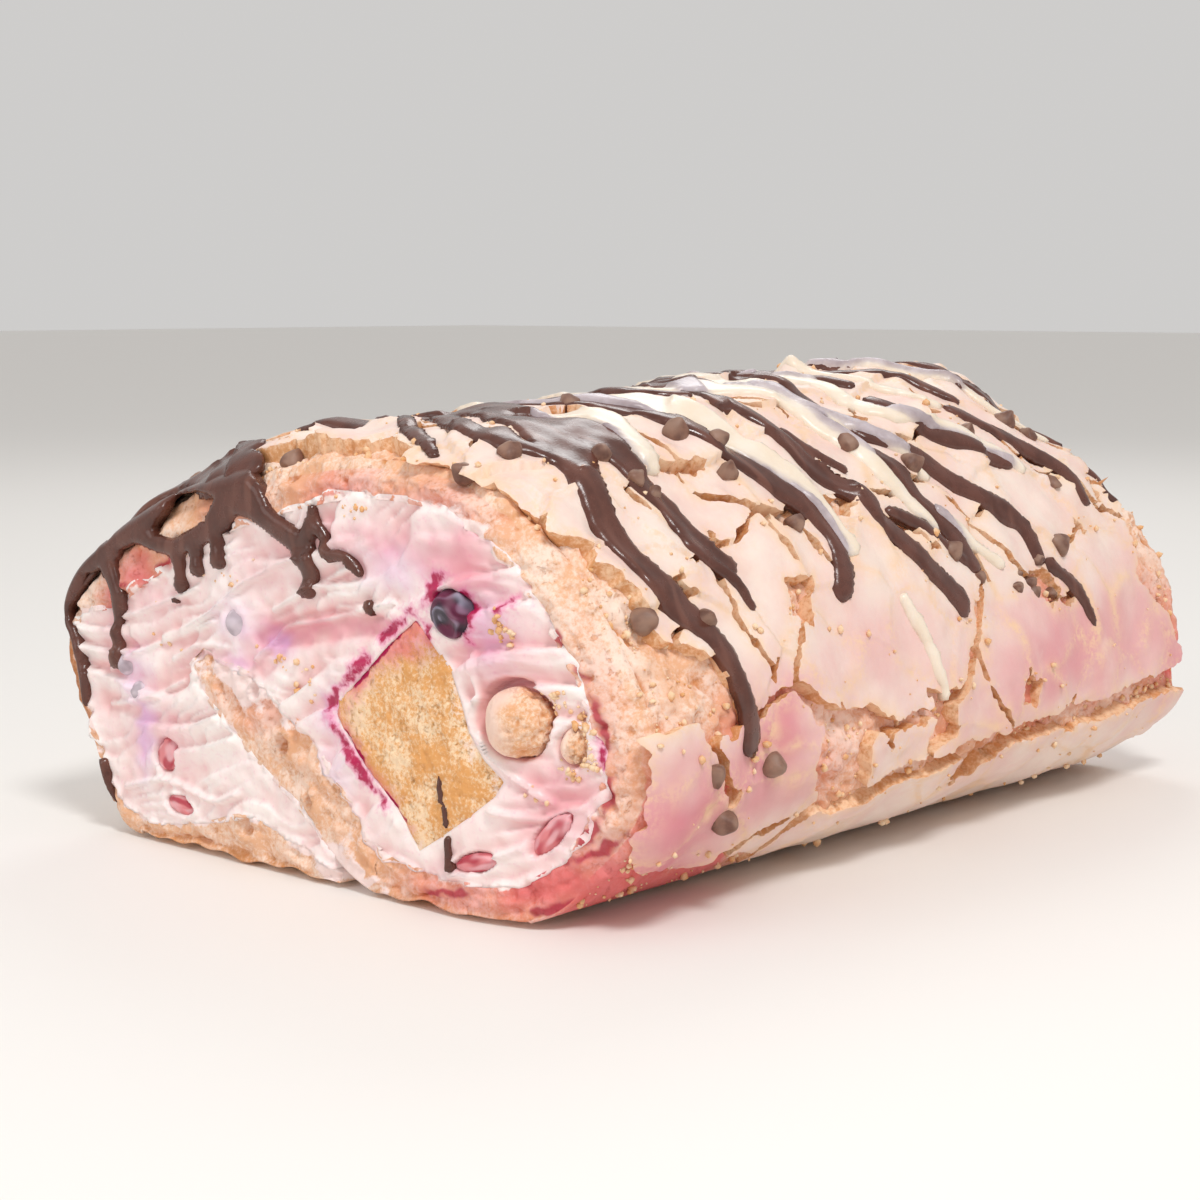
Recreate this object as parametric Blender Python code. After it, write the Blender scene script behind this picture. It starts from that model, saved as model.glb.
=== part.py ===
"""A rolled meringue log with cream, sponge and berries inside and chocolate drizzle on top.

Metres, +Z up. +X runs along the roll, from the cut front face to the far end, and the roll lies
on Z = 0. Dimensions below are in millimetres: "along" is measured from the cut, "across" from
left to right as the cut face is seen, and "up" from the ground.
"""
import math

import bmesh
import bpy
import numpy as np
from mathutils import Euler, Vector, geometry, noise

MM = 0.001
GAP = 0.3
WELD = 0.00003
BAND_FOOT = 6.0

LENGTH = 250.0
MIDDLE_ALONG = 122.5
MIDDLE_ACROSS = -42.1

# The meringue sheet's outer skin in section: across, up, and the sheet's thickness there.
# It starts at the flap under the left side, goes round clockwise and ends inside the roll.
ROLL = [
    (-33, 0, 3), (-46, 0, 7.5), (-66, 0, 12), (-80, 0, 8.5), (-100, 0, 4.5), (-116, 2.5, 5.5),
    (-126, 13, 5.5), (-132, 28, 5), (-138, 46, 6), (-139, 60, 12), (-128, 74, 19), (-103, 88, 19),
    (-76, 97, 16), (-50, 102, 13.5), (-25, 105, 12), (0, 104, 12), (18, 97, 12), (33, 82, 12),
    (44, 65, 13), (52, 48, 14), (54, 34, 14), (50, 20, 14), (38, 8, 11), (24, 1, 9), (8, 0, 8.5),
    (-8, 0, 9), (-21, 0, 11), (-32, 5, 13), (-43, 13, 16), (-55, 21, 18), (-68, 29, 18.5),
    (-80, 38, 15), (-87, 47, 8),
]
LAST_IN_THE_OPEN = (24, 1)
SKIN_STEP = 7.9
COARSE_STATIONS = 6
FINE_STEP = 11.0
CORNER_STEPS = (3.0, 8.0)

CUT_SLANT = 10.0
CORNER_ROUND = 5.0
CORNER_REACH = 12.0
FAR_DROOP = 8.0
FAR_TOP_SHORT = 13.0
FAR_SHOULDER_SHORT = 9.0

# Height that the roll's top gains along its length: part of the way along, millimetres. The gain
# starts at a height and is whole some way above it.
TOP_GAIN = [(0.0, -2.5), (0.1, 1.5), (0.25, 3.5), (0.5, 7.0), (0.75, 10.5), (0.9, 9.0), (1.0, 4.0)]
GAIN_FROM = 30.0
GAIN_OVER = 60.0
# The droop at the far end: across its middle, its reach, the height where it starts and its rise.
DROOP_MIDDLE = 14.0
DROOP_REACH = 22.0
DROOP_FROM = 55.0
DROOP_OVER = 30.0
# The slants of the two ends run from a place across over a width.
FRONT_SLANT_FROM = 4.0
BACK_SLANT_FROM = 6.0
SLANT_OVER = 46.0
SHOULDER_MIDDLE = 20.0
SHOULDER_REACH = 20.0
SHOULDER_UP = 80.0
# Height over which the skin's relief grows in from the ground.
GROUND_BLEND = 12.0

# The crust's reliefs: height, size of the lumps along and around, and where the noise is read.
RELIEFS = [(2.4, 42.0, 36.0, 2.3), (1.6, 17.0, 15.0, 7.1)]

# Breaks in the crust, and places where it has come off and the crumb lies bare. Both are given as
# positions along the roll and round it, where 0 is the crest and the right side is positive.
CRACK_DEPTH = 3.4
CRACK_REACH = 6.5
CRACKS = [
    [(60, 141), (82, 127), (111, 120), (186, 119), (247, 112)],
    [(32, 100), (51, 95), (73, 105), (94, 109), (121, 104), (132, 94), (147, 74)],
    [(132, 94), (133, 103), (145, 116)],
    [(56, 47), (65, 54), (78, 60), (82, 77)],
    [(30, 117), (23, 107), (18, 98)],
    [(189, 88), (194, 100), (188, 116)],
    [(40, -30), (70, -42), (118, -38), (160, -50), (220, -44)],
    [(70, -42), (78, -70), (66, -100)],
    [(160, -50), (152, -84), (170, -118)],
]
BARE_DEPTH = 2.6
BARE_EDGE = 1.25
BARE_SOFTNESS = 0.5
BARE_PATCHES = [
    (4, 62, 14, 34), (10, 92, 13, 18), (64, 110, 12, 7), (96, 116, 12, 6), (6, -60, 10, 30),
    (243, 60, 9, 26), (244, -70, 9, 30), (112, -84, 10, 8), (204, -96, 12, 7),
]

# Chocolate drizzle that stands up from the crust: width, height and the route of each strand.
STRANDS = [
    (7.0, 2.4, [(20, 30), (18, 58), (24, 72), (31, 90), (34, 104)]),
    (6.0, 2.2, [(36, 30), (41, 50), (42, 60), (47, 68)]),
    (6.5, 2.4, [(112, -30), (109, 0), (98, 28), (103, 46), (109, 60), (120, 77), (129, 87)]),
    (6.0, 2.4, [(62, -34), (66, 8), (74, 38), (82, 52), (88, 66), (83, 77)]),
    (5.5, 2.2, [(128, 20), (136, 54), (139, 68), (143, 78)]),
    (5.0, 2.2, [(134, -44), (140, 10), (155, 46), (163, 61), (169, 70)]),
    (5.0, 2.0, [(160, 24), (171, 42), (187, 56)]),
    (5.5, 2.2, [(172, -50), (179, -8), (190, 13), (202, 30)]),
    (5.0, 2.0, [(192, 32), (206, 48), (213, 62)]),
    (5.0, 2.0, [(214, -60), (222, -20), (232, 18), (242, 56)]),
    (16.0, 2.0, [(10, -14), (20, 8), (28, 28)]),
    (14.0, 2.2, [(6, -128), (7, -112), (8, -92), (8, -78)]),
    (5.5, 2.2, [(30, -34), (28, -60), (36, -88), (34, -106)]),
    (6.0, 2.2, [(84, -38), (90, -66), (86, -92), (94, -112)]),
    (5.5, 2.2, [(136, -52), (130, -78), (138, -102)]),
    (5.5, 2.2, [(188, -30), (196, -58), (190, -88), (198, -108)]),
    (8.0, 2.4, [(78, 8), (84, 32), (92, 54), (92, 70)]),
    (6.0, 2.2, [(126, 42), (129, 58), (134, 70)]),
]
STRAND_STEP = 12.0
STRAND_ROOT = 1.3
STRAND_END_SHARE = 0.55
STRAND_SWELL = 0.16
STRAND_SWELL_TURN = 2.1
STRAND_TOP_WIDTH = 0.85
STRAND_SHOULDER = 0.45

# Drips that run from the rim down the cut face: across and up at the rim, the inner edge of the
# sheet and the drip's end, then its radius.
FACE_DRIPS = [
    ((-122, 72), (-118, 60), (-116, 42), 1.7),
    ((-98, 84), (-93, 75), (-90, 66), 1.5),
    ((-88, 88), (-84, 78), (-82, 71), 1.5),
    ((-79, 91), (-76, 81), (-74, 73), 1.5),
    ((-56, 96), (-48, 87), (-42, 70), 2.2),
]
DRIP_SIDES = 6
DRIP_CLEARANCE = 0.15
DRIP_TIP = 0.12
# A drip's stops: its radius there as a share.
DRIP_SIZES = (0.7, 1.0, 0.9, 1.0, 0.55)

# Chocolate chips: a whole one's width and height, and how high its middle sits above the crust.
CHIP_WIDTH = 7.4
CHIP_HEIGHT = 4.3
CHIP_SEAT = 0.7
CHIP_SIDES = 6
CHIP_RINGS = 4
CHIP_TIP_FROM = 0.45
CHIP_FLATNESS = 0.62
CHIP_LEAN = 0.4
# Where each chip lies: along, around, and its size as a share.
CHIPS = [
    (2, 22, 1), (12, 26, 1), (34, 34, 1), (37, 42, 0.9), (63, 1, 1), (66, 31, 1.1), (74, 36, 0.9),
    (69, 45, 0.9), (77, 61, 0.9), (13, 73, 1.1), (30, 77, 0.9), (20, 110, 1), (43, 111, 1.05),
    (29, 123, 1.1), (135, 74, 0.9), (126, 42, 0.9), (144, 50, 1), (215, 36, 1.1), (222, 42, 0.9),
    (185, 78, 1.1), (162, 82, 0.8), (186, 42, 0.8), (202, 62, 0.8), (8, -42, 1), (48, -72, 1),
    (72, -56, 1), (104, -60, 0.9), (112, -98, 1), (148, -70, 1), (176, -78, 0.9), (206, -70, 1),
    (226, -44, 1), (60, -112, 0.9), (20, -92, 0.8),
]

# The strip of sponge rolled into the middle, in section: across and up.
SPONGE = [(-6.7, 67.4), (-15.7, 60.5), (-24.9, 51.8), (-33, 44), (-34, 40.5), (-30.4, 35.6),
          (-23.4, 28.4), (-15.4, 22.2), (-11, 17.6), (-6.6, 12), (0.3, 16.2), (8.5, 21.7), (16, 27.6),
          (18.6, 31.8), (13.4, 36.4), (9.6, 42.3), (7.6, 48.7), (4.6, 56), (-0.3, 60.7)]
CAP_GRID = 16.0
CAP_ROOM = 0.42
CAP_LUMPS = (19.0, 13.0)
CREAM_RELIEF = 0.9
SPONGE_RELIEF = 0.5

# Pieces set in the cream at the two ends: place across and up, how deep the middle lies behind
# the face, half sizes across, up and along, and the tilt in degrees as the face is seen.
FRONT_PIECES = {
    "meringue_ball": (20.4, 45.0, 2.6, (8.2, 8.2, 8.2), 0),
    "meringue_bit": (33.6, 41.0, 2.4, (3.6, 5.0, 4.8), -8),
    "blueberry_1": (4.5, 69.5, 1.6, (5.4, 6.0, 5.4), 10),
    "blueberry_2": (-69.0, 59.5, 2.4, (4.2, 4.0, 4.0), 0),
    "blueberry_3": (-113.0, 44.0, 1.9, (3.4, 3.2, 3.4), 0),
    "blueberry_4": (-108.0, 37.0, 1.6, (2.9, 2.8, 2.9), 0),
    "strawberry_1": (-97.0, 22.5, 2.2, (4.0, 4.8, 4.0), -20),
    "strawberry_2": (-92.0, 10.4, 2.2, (5.4, 2.4, 4.0), -6),
    "strawberry_3": (28.0, 20.8, 2.4, (7.2, 2.6, 4.4), 45),
    "strawberry_4": (10.0, 12.6, 2.2, (6.6, 2.2, 4.0), 14),
}
FAR_PIECES = {
    "meringue_ball_far": (26.0, 50.0, 2.2, (6.6, 6.4, 6.6), 0),
    "blueberry_far_1": (-58.0, 75.0, 1.6, (5.2, 5.0, 5.2), 0),
    "blueberry_far_2": (-100.0, 58.0, 1.8, (4.6, 4.4, 4.6), 0),
    "strawberry_far_1": (-104.0, 27.0, 2.0, (4.2, 5.6, 4.2), 15),
    "strawberry_far_2": (6.0, 76.0, 2.0, (6.0, 3.2, 4.2), -20),
}
# The ball lies in a wider hollow: its size as a share, and how far it is shifted across and up.
BALL_HOLLOW = (1.16, -0.6, 1.0)
POCKET_ROOM = 0.4
BROKEN_UNEVENNESS = 0.22
BROKEN_LUMPS = 1.9

# Colour, roughness.
FINISHES = {
    "meringue": ((0.84, 0.66, 0.55), 0.7),
    "cream": ((0.93, 0.82, 0.79), 0.4),
    "sponge": ((0.80, 0.50, 0.17), 0.8),
    "blueberry": ((0.06, 0.05, 0.11), 0.35),
    "strawberry": ((0.55, 0.10, 0.12), 0.3),
}


def smooth(value):
    """0 below 0, 1 above 1, and an even step between."""
    t = np.clip(value, 0.0, 1.0)
    return t * t * (3.0 - 2.0 * t)


def path_through(points, step):
    """Evenly spaced rows along a smooth curve through the points, about a step apart."""
    rows = np.array(points, float)
    rows = np.vstack([2 * rows[0] - rows[1], rows, 2 * rows[-1] - rows[-2]])
    t = np.linspace(0.0, 1.0, 20, endpoint=False)[:, None]
    pieces = []
    for i in range(1, len(rows) - 2):
        a, b, c, d = rows[i - 1:i + 3]
        pieces.append(0.5 * (2 * b + (c - a) * t + (2 * a - 5 * b + 4 * c - d) * t ** 2
                             + (3 * b - a - 3 * c + d) * t ** 3))
    fine = np.vstack(pieces + [rows[-2:-1]])
    run = np.concatenate([[0.0], np.cumsum(np.linalg.norm(np.diff(fine[:, :2], axis=0), axis=1))])
    count = int(round(run[-1] / step)) + 1
    at = np.linspace(0.0, run[-1], count)
    columns = [np.interp(at, run, fine[:, k]) for k in range(fine.shape[1])]
    return np.stack(columns, axis=1)


class Section:
    """The sheet's section: its outer skin, inward normals, thickness and position round the roll."""

    def __init__(self):
        rows = path_through(ROLL, SKIN_STEP)
        self.skin = rows[:, :2].copy()
        self.skin[:, 1] = np.maximum(self.skin[:, 1], 0.0)
        self.thickness = rows[:, 2]
        run = np.gradient(self.skin, axis=0)
        run /= np.linalg.norm(run, axis=1)[:, None]
        self.inward = np.stack([run[:, 1], -run[:, 0]], axis=1)
        crest = int(np.argmax(self.skin[:, 1]))
        steps = np.linalg.norm(np.diff(self.skin, axis=0), axis=1)
        position = np.concatenate([[0.0], np.cumsum(steps)])
        self.round = position - position[crest]
        open_end = np.linalg.norm(self.skin - np.array(LAST_IN_THE_OPEN), axis=1)
        self.last_open = int(np.argmin(open_end))
        lifted = smooth(self.skin[:, 1] / GROUND_BLEND)
        lifted[self.last_open:] = 0.0
        self.exposed = lifted

    def offset(self, depth):
        """The skin moved inward by a depth, one value or one for each point."""
        return self.skin + self.inward * np.reshape(depth, (-1, 1))


SECTION = Section()


def top_gain(part_way):
    """How much higher the top is than in the section, in millimetres."""
    return float(np.interp(part_way, [row[0] for row in TOP_GAIN], [row[1] for row in TOP_GAIN]))


def placed(section, part_way):
    """Section points (across, up) at a part of the way along, as rows of x, y, z in millimetres."""
    across = section[:, 0]
    up = section[:, 1] + top_gain(part_way) * smooth((section[:, 1] - GAIN_FROM) / GAIN_OVER)
    droop = FAR_DROOP * part_way ** 2 * np.exp(-((across - DROOP_MIDDLE) / DROOP_REACH) ** 2)
    up = up - droop * smooth((up - DROOP_FROM) / DROOP_OVER)
    front = CUT_SLANT * smooth((across - FRONT_SLANT_FROM) / SLANT_OVER)
    back = LENGTH - FAR_TOP_SHORT * (1.0 - smooth((across - BACK_SLANT_FROM) / SLANT_OVER))
    shoulder = np.exp(-((across - SHOULDER_MIDDLE) / SHOULDER_REACH) ** 2)
    back = back - FAR_SHOULDER_SHORT * shoulder * smooth(up / SHOULDER_UP)
    along = front + (back - front) * part_way
    return np.stack([along - MIDDLE_ALONG, MIDDLE_ACROSS - across, up], axis=1)


def coarse_parts():
    return np.linspace(0.0, 1.0, COARSE_STATIONS)


def on_coarse_loft(section, part_way):
    """Section points on the loft that is straight between the coarse stations."""
    parts = coarse_parts()
    after = int(np.clip(np.searchsorted(parts, part_way), 1, len(parts) - 1))
    share = (part_way - parts[after - 1]) / (parts[after] - parts[after - 1])
    return placed(section, parts[after - 1]) * (1.0 - share) + placed(section, parts[after]) * share


def end_round(part_way):
    """How far the outer skin falls back at the broken edges of the two ends."""
    from_end = min(part_way, 1.0 - part_way) * LENGTH
    short = max(0.0, 1.0 - from_end / CORNER_REACH)
    return CORNER_ROUND * (1.0 - math.sqrt(1.0 - short * short))


def distance_to_route(along, around, route):
    """Shortest distance from a place on the crust to a route of straight runs."""
    here = Vector((along, around))
    nearest = 1.0e6
    for start, end in zip(route[:-1], route[1:]):
        start = Vector(start)
        run = Vector(end) - start
        share = min(max((here - start).dot(run) / run.length_squared, 0.0), 1.0)
        nearest = min(nearest, (here - start - run * share).length)
    return nearest


def relief(along, around):
    """Height of the crust above its smooth form, in millimetres."""
    height = 0.0
    for high, size_along, size_around, seed in RELIEFS:
        height += high * noise.noise(Vector((along / size_along, around / size_around, seed)))
    near = min(distance_to_route(along, around, crack) for crack in CRACKS)
    height -= CRACK_DEPTH * math.exp(-(near / CRACK_REACH) ** 2)
    for centre_along, centre_around, reach_along, reach_around in BARE_PATCHES:
        apart = math.hypot((along - centre_along) / reach_along, (around - centre_around) / reach_around)
        height -= BARE_DEPTH * float(smooth((BARE_EDGE - apart) / BARE_SOFTNESS))
    return height


def outer_row(part_way):
    """The outer skin at a part of the way along, with its relief and rounded ends."""
    base = on_coarse_loft(SECTION.skin, part_way)
    inner = on_coarse_loft(SECTION.offset(1.0), part_way)
    outward = base - inner
    outward /= np.linalg.norm(outward, axis=1)[:, None]
    height = np.array([relief(part_way * LENGTH, a) for a in SECTION.round])
    height = (height - end_round(part_way)) * SECTION.exposed
    return base + outward * height[:, None]


def skin_point(along, around):
    """A place on the crust and the direction that points out of it there."""
    part_way = along / LENGTH
    rings = []
    for depth in (0.0, 1.0):
        rows = on_coarse_loft(SECTION.offset(depth), part_way)
        rings.append(Vector([float(np.interp(around, SECTION.round, rows[:, k])) for k in range(3)]))
    base, inner = rings
    outward = (base - inner).normalized()
    open_here = float(np.interp(around, SECTION.round, SECTION.exposed))
    height = (relief(along, around) - end_round(part_way)) * open_here
    return base + outward * height, outward


def new_object(name, mesh, collection, material=None):
    made = bpy.data.objects.new(name, mesh)
    collection.objects.link(made)
    if material is not None:
        mesh.materials.append(material)
    return made


def mesh_from(name, points, faces):
    """A closed mesh in metres from rows in millimetres, with its faces turned outward."""
    mesh = bpy.data.meshes.new(name)
    mesh.from_pydata([tuple(float(v) * MM for v in p) for p in points], [], faces)
    form = bmesh.new()
    form.from_mesh(mesh)
    bmesh.ops.recalc_face_normals(form, faces=form.faces)
    form.to_mesh(mesh)
    form.free()
    mesh.update()
    return mesh


def zipper(first, second, points):
    """Triangles that join two chains of point numbers with different counts."""
    faces = []
    i = 0
    k = 0
    while i < len(first) - 1 or k < len(second) - 1:
        if k == len(second) - 1:
            step_first = True
        elif i == len(first) - 1:
            step_first = False
        else:
            step_first = points[first[i + 1]][0] <= points[second[k + 1]][0]
        if step_first:
            faces.append((first[i], first[i + 1], second[k]))
            i += 1
        else:
            faces.append((first[i], second[k + 1], second[k]))
            k += 1
    return faces


def fine_parts():
    middle = np.arange(CORNER_STEPS[-1] + FINE_STEP, LENGTH - CORNER_STEPS[-1] - FINE_STEP / 3, FINE_STEP)
    starts = np.concatenate([[0.0], CORNER_STEPS, middle])
    ends = LENGTH - np.array(CORNER_STEPS[::-1])
    parts = np.concatenate([starts, ends, [LENGTH]]) / LENGTH
    for part in coarse_parts():
        parts[np.argmin(np.abs(parts - part))] = part
    return parts


def sheet_mesh():
    outer = [outer_row(part) for part in fine_parts()]
    inside = SECTION.offset(SECTION.thickness)
    inner = [on_coarse_loft(inside, part) for part in coarse_parts()]
    across = len(SECTION.skin)
    points = np.vstack(outer + inner)
    first_inner = len(outer) * across

    def out(i, j):
        return i * across + j

    def within(k, j):
        return first_inner + k * across + j

    faces = []
    for j in range(across - 1):
        for i in range(len(outer) - 1):
            faces.append((out(i, j), out(i, j + 1), out(i + 1, j + 1), out(i + 1, j)))
        for k in range(len(inner) - 1):
            faces.append((within(k, j), within(k + 1, j), within(k + 1, j + 1), within(k, j + 1)))
        for i, k in ((0, 0), (len(outer) - 1, len(inner) - 1)):
            faces.append((out(i, j), out(i, j + 1), within(k, j + 1), within(k, j)))
    for j in (0, across - 1):
        chain_out = [out(i, j) for i in range(len(outer))]
        chain_in = [within(k, j) for k in range(len(inner))]
        faces += zipper(chain_out, chain_in, points)
    return mesh_from("meringue_sheet", points, faces)


def tube_mesh(name, rings):
    """A closed tube through rings of points with the same count."""
    count = len(rings[0])
    points = [tuple(p) for ring in rings for p in ring]
    faces = [tuple(range(count)), tuple(range((len(rings) - 1) * count, len(rings) * count))]
    for i in range(len(rings) - 1):
        for j in range(count):
            a = i * count + j
            b = i * count + (j + 1) % count
            faces.append((a, b, b + count, a + count))
    return mesh_from(name, points, faces)


def strand_mesh(name, width, height, route):
    """A flattened ridge of chocolate that follows a route over the crust."""
    way = path_through([(p[0], p[1], 0.0) for p in route], STRAND_STEP)
    spots = [skin_point(p[0], p[1]) for p in way]
    rings = []
    for i, (place, outward) in enumerate(spots):
        before = spots[max(i - 1, 0)][0]
        after = spots[min(i + 1, len(spots) - 1)][0]
        side = (after - before).cross(outward).normalized()
        size = 1.0 + STRAND_SWELL * math.sin(STRAND_SWELL_TURN * i + width)
        if i in (0, len(spots) - 1):
            size = STRAND_END_SHARE
        half = side * (0.5 * width * size)
        top = outward * (height * size)
        root = outward * STRAND_ROOT
        narrow = half * STRAND_TOP_WIDTH
        rings.append([place - half - root, place + half - root, place + narrow + top * STRAND_SHOULDER,
                      place + top, place - narrow + top * STRAND_SHOULDER])
    return tube_mesh(name, rings)


def drip_mesh(name, rim, edge, end, radius):
    """A drip that leaves the rim's crumb, crosses the sheet's edge and hangs in front of the cream."""
    clear = -(radius + GAP + DRIP_CLEARANCE)
    tip = (np.array(end) - np.array(edge)) * DRIP_TIP
    halfway = (np.array(rim) + np.array(edge)) / 2
    stops = [(1.0, rim), (clear / 2, halfway), (clear, edge), (clear, np.array(end) - tip), (clear, end)]
    rings = []
    for (along, (across, up)), size in zip(stops, DRIP_SIZES):
        ring = []
        for k in range(DRIP_SIDES):
            turn = math.tau * k / DRIP_SIDES
            ring.append((along - MIDDLE_ALONG + radius * size * math.sin(turn),
                         MIDDLE_ACROSS - across - radius * size * math.cos(turn),
                         up))
        rings.append(ring)
    return tube_mesh(name, rings)


def chip_mesh(name, along, around, size, lean):
    """A drop-shaped chocolate chip pressed a little way into the crust."""
    place, outward = skin_point(along, around)
    leaning = (outward + lean).normalized()
    turn = leaning.to_track_quat("Z", "Y").to_matrix()
    radius = CHIP_WIDTH * size / 2
    form = bmesh.new()
    bmesh.ops.create_uvsphere(form, u_segments=CHIP_SIDES, v_segments=CHIP_RINGS, radius=radius)
    for vertex in form.verts:
        point = vertex.co.copy()
        on_tip = point.z > 2 * radius * CHIP_TIP_FROM
        point.z *= 2 * CHIP_HEIGHT / CHIP_WIDTH if on_tip else CHIP_FLATNESS
        vertex.co = (turn @ point + place + leaning * CHIP_SEAT) * MM
    mesh = bpy.data.meshes.new(name)
    form.to_mesh(mesh)
    form.free()
    return mesh


def weld(mesh):
    """Merge corners that lie closer together than the weld distance."""
    form = bmesh.new()
    form.from_mesh(mesh)
    bmesh.ops.remove_doubles(form, verts=form.verts, dist=WELD)
    bmesh.ops.dissolve_degenerate(form, edges=form.edges, dist=WELD)
    form.to_mesh(mesh)
    form.free()


def keep_largest_body(mesh):
    """Drop the loose scraps and sealed hollows that a union leaves."""
    form = bmesh.new()
    form.from_mesh(mesh)
    waiting = set(form.verts)
    bodies = []
    while waiting:
        body = {waiting.pop()}
        edge_of_body = list(body)
        while edge_of_body:
            vertex = edge_of_body.pop()
            for link in vertex.link_edges:
                other = link.other_vert(vertex)
                if other in waiting:
                    waiting.remove(other)
                    body.add(other)
                    edge_of_body.append(other)
        bodies.append(body)
    bodies.sort(key=len)
    scraps = [vertex for body in bodies[:-1] for vertex in body]
    bmesh.ops.delete(form, geom=scraps, context="VERTS")
    form.to_mesh(mesh)
    form.free()


def add_toppings(sheet, toppings):
    """Fuse the drizzle, drips and chips to the sheet they lie on."""
    for k, (width, height, route) in enumerate(STRANDS):
        new_object(f"strand_{k}", strand_mesh(f"strand_{k}", width, height, route), toppings)
    for k, (rim, edge, end, radius) in enumerate(FACE_DRIPS):
        new_object(f"drip_{k}", drip_mesh(f"drip_{k}", rim, edge, end, radius), toppings)
    for k, (along, around, size) in enumerate(CHIPS):
        lean = Vector((math.sin(2.4 * k), math.cos(1.7 * k), 0.0)) * CHIP_LEAN
        new_object(f"chip_{k}", chip_mesh(f"chip_{k}", along, around, size, lean), toppings)
    joined = sheet.modifiers.new("toppings", "BOOLEAN")
    joined.operation = "UNION"
    joined.operand_type = "COLLECTION"
    joined.collection = toppings
    joined.solver = "MANIFOLD"
    bpy.context.view_layer.update()
    evaluated = sheet.evaluated_get(bpy.context.evaluated_depsgraph_get())
    fused = bpy.data.meshes.new_from_object(evaluated)
    keep_largest_body(fused)
    weld(fused)
    sheet.modifiers.remove(joined)
    sheet.data = fused
    for piece in list(toppings.objects):
        bpy.data.objects.remove(piece, do_unlink=True)
    bpy.data.collections.remove(toppings)


def cream_outline():
    """The cream's outline in section: inside the roll's outer turn and round its inner end."""
    inner_side = SECTION.offset(SECTION.thickness + GAP)
    lower_side = SECTION.offset(-GAP)
    numbers = np.arange(len(SECTION.skin))
    off_floor = np.nonzero((SECTION.skin[:, 1] > BAND_FOOT) & (numbers > SECTION.last_open))[0]
    onward = SECTION.skin[-1] - SECTION.skin[-2]
    onward *= GAP / np.linalg.norm(onward)
    tip = np.array([inner_side[-1] + onward, lower_side[-1] + onward])
    return np.vstack([inner_side[1:-1], tip, lower_side[off_floor[0]:-1][::-1]])


def grown(outline, amount):
    """A closed clockwise or anticlockwise outline moved outward by an amount."""
    ahead = np.roll(outline, -1, axis=0) - np.roll(outline, 1, axis=0)
    ahead /= np.linalg.norm(ahead, axis=1)[:, None]
    across, up = outline[:, 0], outline[:, 1]
    area = np.sum(across * np.roll(up, -1) - np.roll(across, -1) * up)
    sign = 1.0 if area > 0 else -1.0
    return outline + np.stack([ahead[:, 1], -ahead[:, 0]], axis=1) * sign * amount


def inside(outline, point):
    """Whether a point lies within a closed outline."""
    within = False
    for (a0, u0), (a1, u1) in zip(outline, np.roll(outline, -1, axis=0)):
        if (u0 > point[1]) != (u1 > point[1]):
            if point[0] < a0 + (point[1] - u0) * (a1 - a0) / (u1 - u0):
                within = not within
    return within


def clear_of(outlines, point, room):
    """Whether a point lies at least some room away from every outline."""
    for outline in outlines:
        for start, end in zip(outline, np.roll(outline, -1, axis=0)):
            run = end - start
            share = np.clip(np.dot(point - start, run) / np.dot(run, run), 0.0, 1.0)
            if np.linalg.norm(point - start - run * share) < room:
                return False
    return True


def run_through(name, outlines, height):
    """A solid that runs the roll's length, from its outline and any holes, with uneven ends."""
    rim = np.vstack(outlines)
    low, high = rim.min(axis=0), rim.max(axis=0)
    middle = []
    for across in np.arange(low[0] + CAP_GRID / 2, high[0], CAP_GRID):
        for up in np.arange(low[1] + CAP_GRID / 2, high[1], CAP_GRID):
            point = np.array([across, up])
            held = inside(outlines[0], point) and not any(inside(hole, point) for hole in outlines[1:])
            if held and clear_of(outlines, point, CAP_GRID * CAP_ROOM):
                middle.append(point)
    flat = np.vstack([rim, middle])
    loops = []
    first = 0
    for outline in outlines:
        numbers = list(range(first, first + len(outline)))
        loops.append(numbers)
        first += len(outline)
    edges = [pair for loop in loops for pair in zip(loop, loop[1:] + loop[:1])]
    found = geometry.delaunay_2d_cdt([Vector(p) for p in flat], edges, [], 0, 1.0e-5)
    cap = []
    for corners in found[2]:
        centre = np.mean([found[0][c] for c in corners], axis=0)
        if inside(outlines[0], centre) and not any(inside(hole, centre) for hole in outlines[1:]):
            cap.append([found[3][c][0] for c in corners])

    parts = coarse_parts()
    rims = [placed(rim, part) for part in parts]
    ends = []
    for part, turn in ((0.0, -1.0), (1.0, 1.0)):
        face = placed(np.array(middle), part)
        for row, (across, up) in zip(face, middle):
            spot = Vector((across / CAP_LUMPS[0], up / CAP_LUMPS[1], 5.0 * part))
            row[0] += turn * height * noise.noise(spot)
        ends.append(face)
    points = np.vstack(rims + ends)
    faces = []
    for k in range(len(parts) - 1):
        for start, end in edges:
            a, b = k * len(rim) + start, k * len(rim) + end
            faces.append((a, b, b + len(rim), a + len(rim)))
    for side in (0, 1):
        first_rim = side * (len(parts) - 1) * len(rim)
        first_middle = len(parts) * len(rim) + side * len(middle) - len(rim)
        for corners in cap:
            faces.append(tuple(first_rim + c if c < len(rim) else first_middle + c for c in corners))
    return mesh_from(name, points, faces)


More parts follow.
